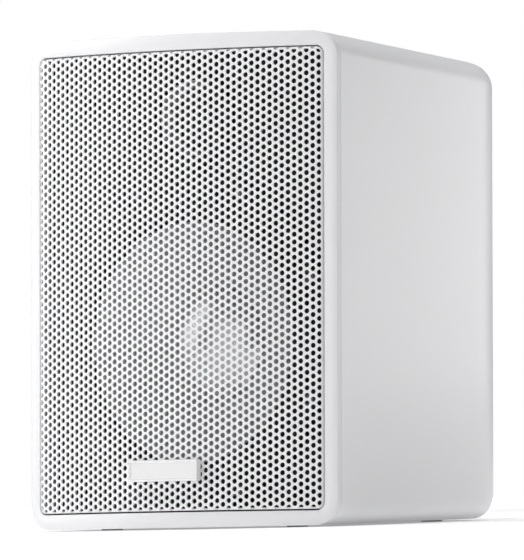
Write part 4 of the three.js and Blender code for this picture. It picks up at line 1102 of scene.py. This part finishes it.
def fibres(tree, shader):
    """Tangled polyester fibre, drawn as stretched noise at a few fibres to the millimetre."""
    place = add_node(tree, "ShaderNodeTexCoord")
    strand = add_node(tree, "ShaderNodeMapping", {"Vector": place.outputs["Object"]},
                      Scale=(300, 1500, 1500))
    fluff = add_node(tree, "ShaderNodeTexNoise", {"Vector": strand.outputs["Vector"]}, Scale=1, Detail=6,
                     Distortion=2)
    bump = add_node(tree, "ShaderNodeBump", {"Height": fluff.outputs["Fac"]}, Strength=0.8,
                    Distance=0.8 * MM)
    tree.links.new(bump.outputs["Normal"], shader.inputs["Normal"])


WADDING_CUTS = 24
wool_low, wool_high = (v / MM for v in span("damping_wadding", apex))
wool_mid, wool_half = (wool_low + wool_high) / 2, (wool_high - wool_low) / 2
work = bmesh.new()
bmesh.ops.create_cube(work, size=2)
bmesh.ops.subdivide_edges(work, edges=work.edges, cuts=WADDING_CUTS, use_grid_fill=True)
for vert in work.verts:
    x, y, z = vert.co
    edge = (1 - abs(x) ** 6) * (1 - abs(z) ** 6)
    lump = 0.03 * math.sin(7 * x + 2 * z) * math.cos(5 * z - x)
    pull = 1 - 0.06 * (abs(x * z)) ** 4
    swell = (0.45 + 0.5 * max(0, edge) ** 0.5 + lump) * y
    vert.co = Vector((x * pull * wool_half.x * 0.98, swell * wool_half.y, z * pull * wool_half.z * 0.98))
    vert.co = (vert.co + wool_mid) * MM
wool_mesh = bpy.data.meshes.new("wadding")
work.to_mesh(wool_mesh)
work.free()
wadding = finish_of("polyester_fibre_wadding", "dcdcd8", 0.95, build=fibres, Sheen_Weight=0.4)
wool = put("wadding", wool_mesh, wadding, "cabinet", ["damping_wadding"], angle=80)

# ---- Reflex port ---------------------------------------------------------------------------------
# A black moulded tube pushed in from behind, with a flared mouth and a lip that seats on the back.
port_low, port_high = (v / MM for v in span("port_tube", apex))
PORT_R, PORT_WALL, LIP_R, FLARE = 15, 2, 21, 4
flare = []
for k in range(9):
    a = math.radians(90 * k / 8)
    flare.append((PORT_R + FLARE * (1 - math.cos(a)), port_high.y - FLARE + FLARE * math.sin(a)))
port_profile = eased([
    (PORT_R, port_low.y), (PORT_R + PORT_WALL, port_low.y), (PORT_R + PORT_WALL, BACK + GAP),
    (LIP_R, BACK + GAP), (LIP_R, port_high.y), *reversed(flare), (PORT_R, port_low.y)], 0.35)
put("reflex_port", turned_mesh("port", port_profile, 0, port_axis, 112), black_abs, "cabinet",
    ["port_tube"])

# ---- Terminal cup --------------------------------------------------------------------------------
# A black moulded tub let into the back and bonded by its flange. Two posts pass through its floor.
CUP_SINK, CUP_FLANGE_T, CUP_FILLET = 15, 1.6, 1.5
cup_floor, flange_y = BACK - CUP_SINK, BACK + GAP
tub = [
    cup_ring(CUP_WALL - 0.6, cup_floor - CUP_WALL), cup_ring(CUP_WALL, cup_floor - CUP_WALL + 0.6),
    cup_ring(CUP_WALL, flange_y), cup_ring(CUP_FLANGE, flange_y), cup_ring(CUP_FLANGE, flange_y + 1.1),
    cup_ring(CUP_FLANGE - 0.5, flange_y + CUP_FLANGE_T), cup_ring(0.5, flange_y + CUP_FLANGE_T),
    cup_ring(0, flange_y + 1.1)]
for k in range(7):
    a = math.radians(15 * k)
    tub.append(cup_ring(-CUP_FILLET * (1 - math.cos(a)), cup_floor + CUP_FILLET * (1 - math.sin(a))))
cup_axis = (cup_bottom + cup_top) / 2
POST_X, POST_R = 15, 2.4
post_holes = bored([(-POST_X, 0), (POST_X, 0)], POST_R + GAP, cup_floor - 20, BACK, cup_axis)
put("terminal_tub", sink(mesh_of("tub", *skin(tub, ends=True)), *post_holes), black_abs, "cabinet",
    ["terminal_cup"], angle=30)

# ---- Terminal posts, washers and caps ------------------------------------------------------------
# Turned brass posts with a cross hole for the wire. A loose brass washer and a fluted plastic cap,
# red for the positive side, clamp it.
collar_back = cup_floor + GAP + 1.6
washer_front = collar_back + 2
cap_front = washer_front + 0.8 + GAP
cap_back = cap_front + 10
KNOB_R, FLUTES, FLUTE_DEPTH = 5.8, 12, 0.5
KNOB_STEPS = 120


def knob(x):
    """A fluted cap with a blind bore. The flutes fade out towards its front edge."""
    rows = [(POST_R + 0.2, cap_front, 0), (KNOB_R - 0.3, cap_front, 0), (KNOB_R, cap_front + 0.3, 0),
            (KNOB_R, cap_front + 1.6, 0), (KNOB_R, cap_front + 2.4, 1), (KNOB_R, cap_back - 0.8, 1),
            (KNOB_R - 0.25, cap_back - 0.25, 1), (KNOB_R - 0.9, cap_back, 0.2), (0.01, cap_back, 0),
            (0.01, cap_back - 2, 0), (POST_R + 0.2, cap_back - 2, 0)]
    rings = []
    for r, y, deep in rows:
        loop = []
        for i in range(KNOB_STEPS):
            a = 2 * math.pi * i / KNOB_STEPS
            reach = r - deep * FLUTE_DEPTH * max(0, math.cos(FLUTES * a)) ** 0.7
            loop.append((x + reach * math.sin(a), y, cup_axis + reach * math.cos(a)))
        rings.append(loop)
    return mesh_of("knob", *skin(rings, loop=True))


for side, x, code in (("red", -POST_X, "b01c1c"), ("black", POST_X, "19191a")):
    brass = finish_of("turned_brass_" + side, "d0ab58", 0.3, 1,
                      turned_marks(x, cup_axis, 0.6, 0.01, (0.24, 0.36)))
    post = eased([
        (0, cup_floor - 11), (POST_R, cup_floor - 11), (POST_R, cup_floor + GAP), (5, cup_floor + GAP),
        (5, collar_back), (POST_R, collar_back), (POST_R, cap_back - 2.5), (0, cap_back - 2.5)], 0.2)
    wire_hole = turned_mesh("wire_hole", disc(1, -10, 10), 0, 0, 24)
    at_collar = Matrix.Translation(Vector((x, collar_back + 1, cup_axis)) * MM)
    wire_hole.transform(at_collar @ Matrix.Rotation(math.pi / 2, 4, "X"))
    post_mesh = sink(turned_mesh("post", post, x, cup_axis, 48), wire_hole)
    put("post_" + side, post_mesh, brass, "cabinet", ["terminal_post_" + side], angle=30)
    washer = eased(ring(POST_R + 0.2, 5, washer_front, washer_front + 0.8), 0.15)
    put("washer_" + side + "_disc", turned_mesh("washer", washer, x, cup_axis, 64), brass, "washer_" + side,
        ["terminal_washer_" + side])
    cap_plastic = finish_of("moulded_%s_cap_plastic" % side, code, 0.35, build=moulded(0.4, 0.03))
    put("knob_" + side, knob(x), cap_plastic, "cap_" + side, ["terminal_cap_" + side], angle=40)

# ---- Wall-mount insert ---------------------------------------------------------------------------
# A brass M6 insert moulded into a boss at the back, its thread drawn as rings of the right pitch.
insert_low, insert_high = (v / MM for v in span("wall_mount_insert", apex))
INSERT_R, CORE_R, CREST_R, THREAD_PITCH = 5, 2.5, 3, 1
thread, y = [], insert_high.y - 0.8
while y > insert_low.y + 2.2:
    thread += [(CREST_R, y), (CORE_R, y - THREAD_PITCH / 2)]
    y -= THREAD_PITCH
insert_profile = [(0, insert_low.y), (INSERT_R, insert_low.y), (INSERT_R, insert_high.y - 0.3),
                  (INSERT_R - 0.3, insert_high.y), (CREST_R + 0.5, insert_high.y), *thread,
                  (CORE_R, insert_low.y + 1.5), (0, insert_low.y + 1.5)]
insert_brass = finish_of("knurled_brass", "d0ab58", 0.35, 1,
                         turned_marks(0, insert_axis, 0.6, 0.01, (0.3, 0.4)))
put("threaded_insert", turned_mesh("insert", insert_profile, 0, insert_axis, 64), insert_brass, "cabinet",
    ["wall_mount_insert"])
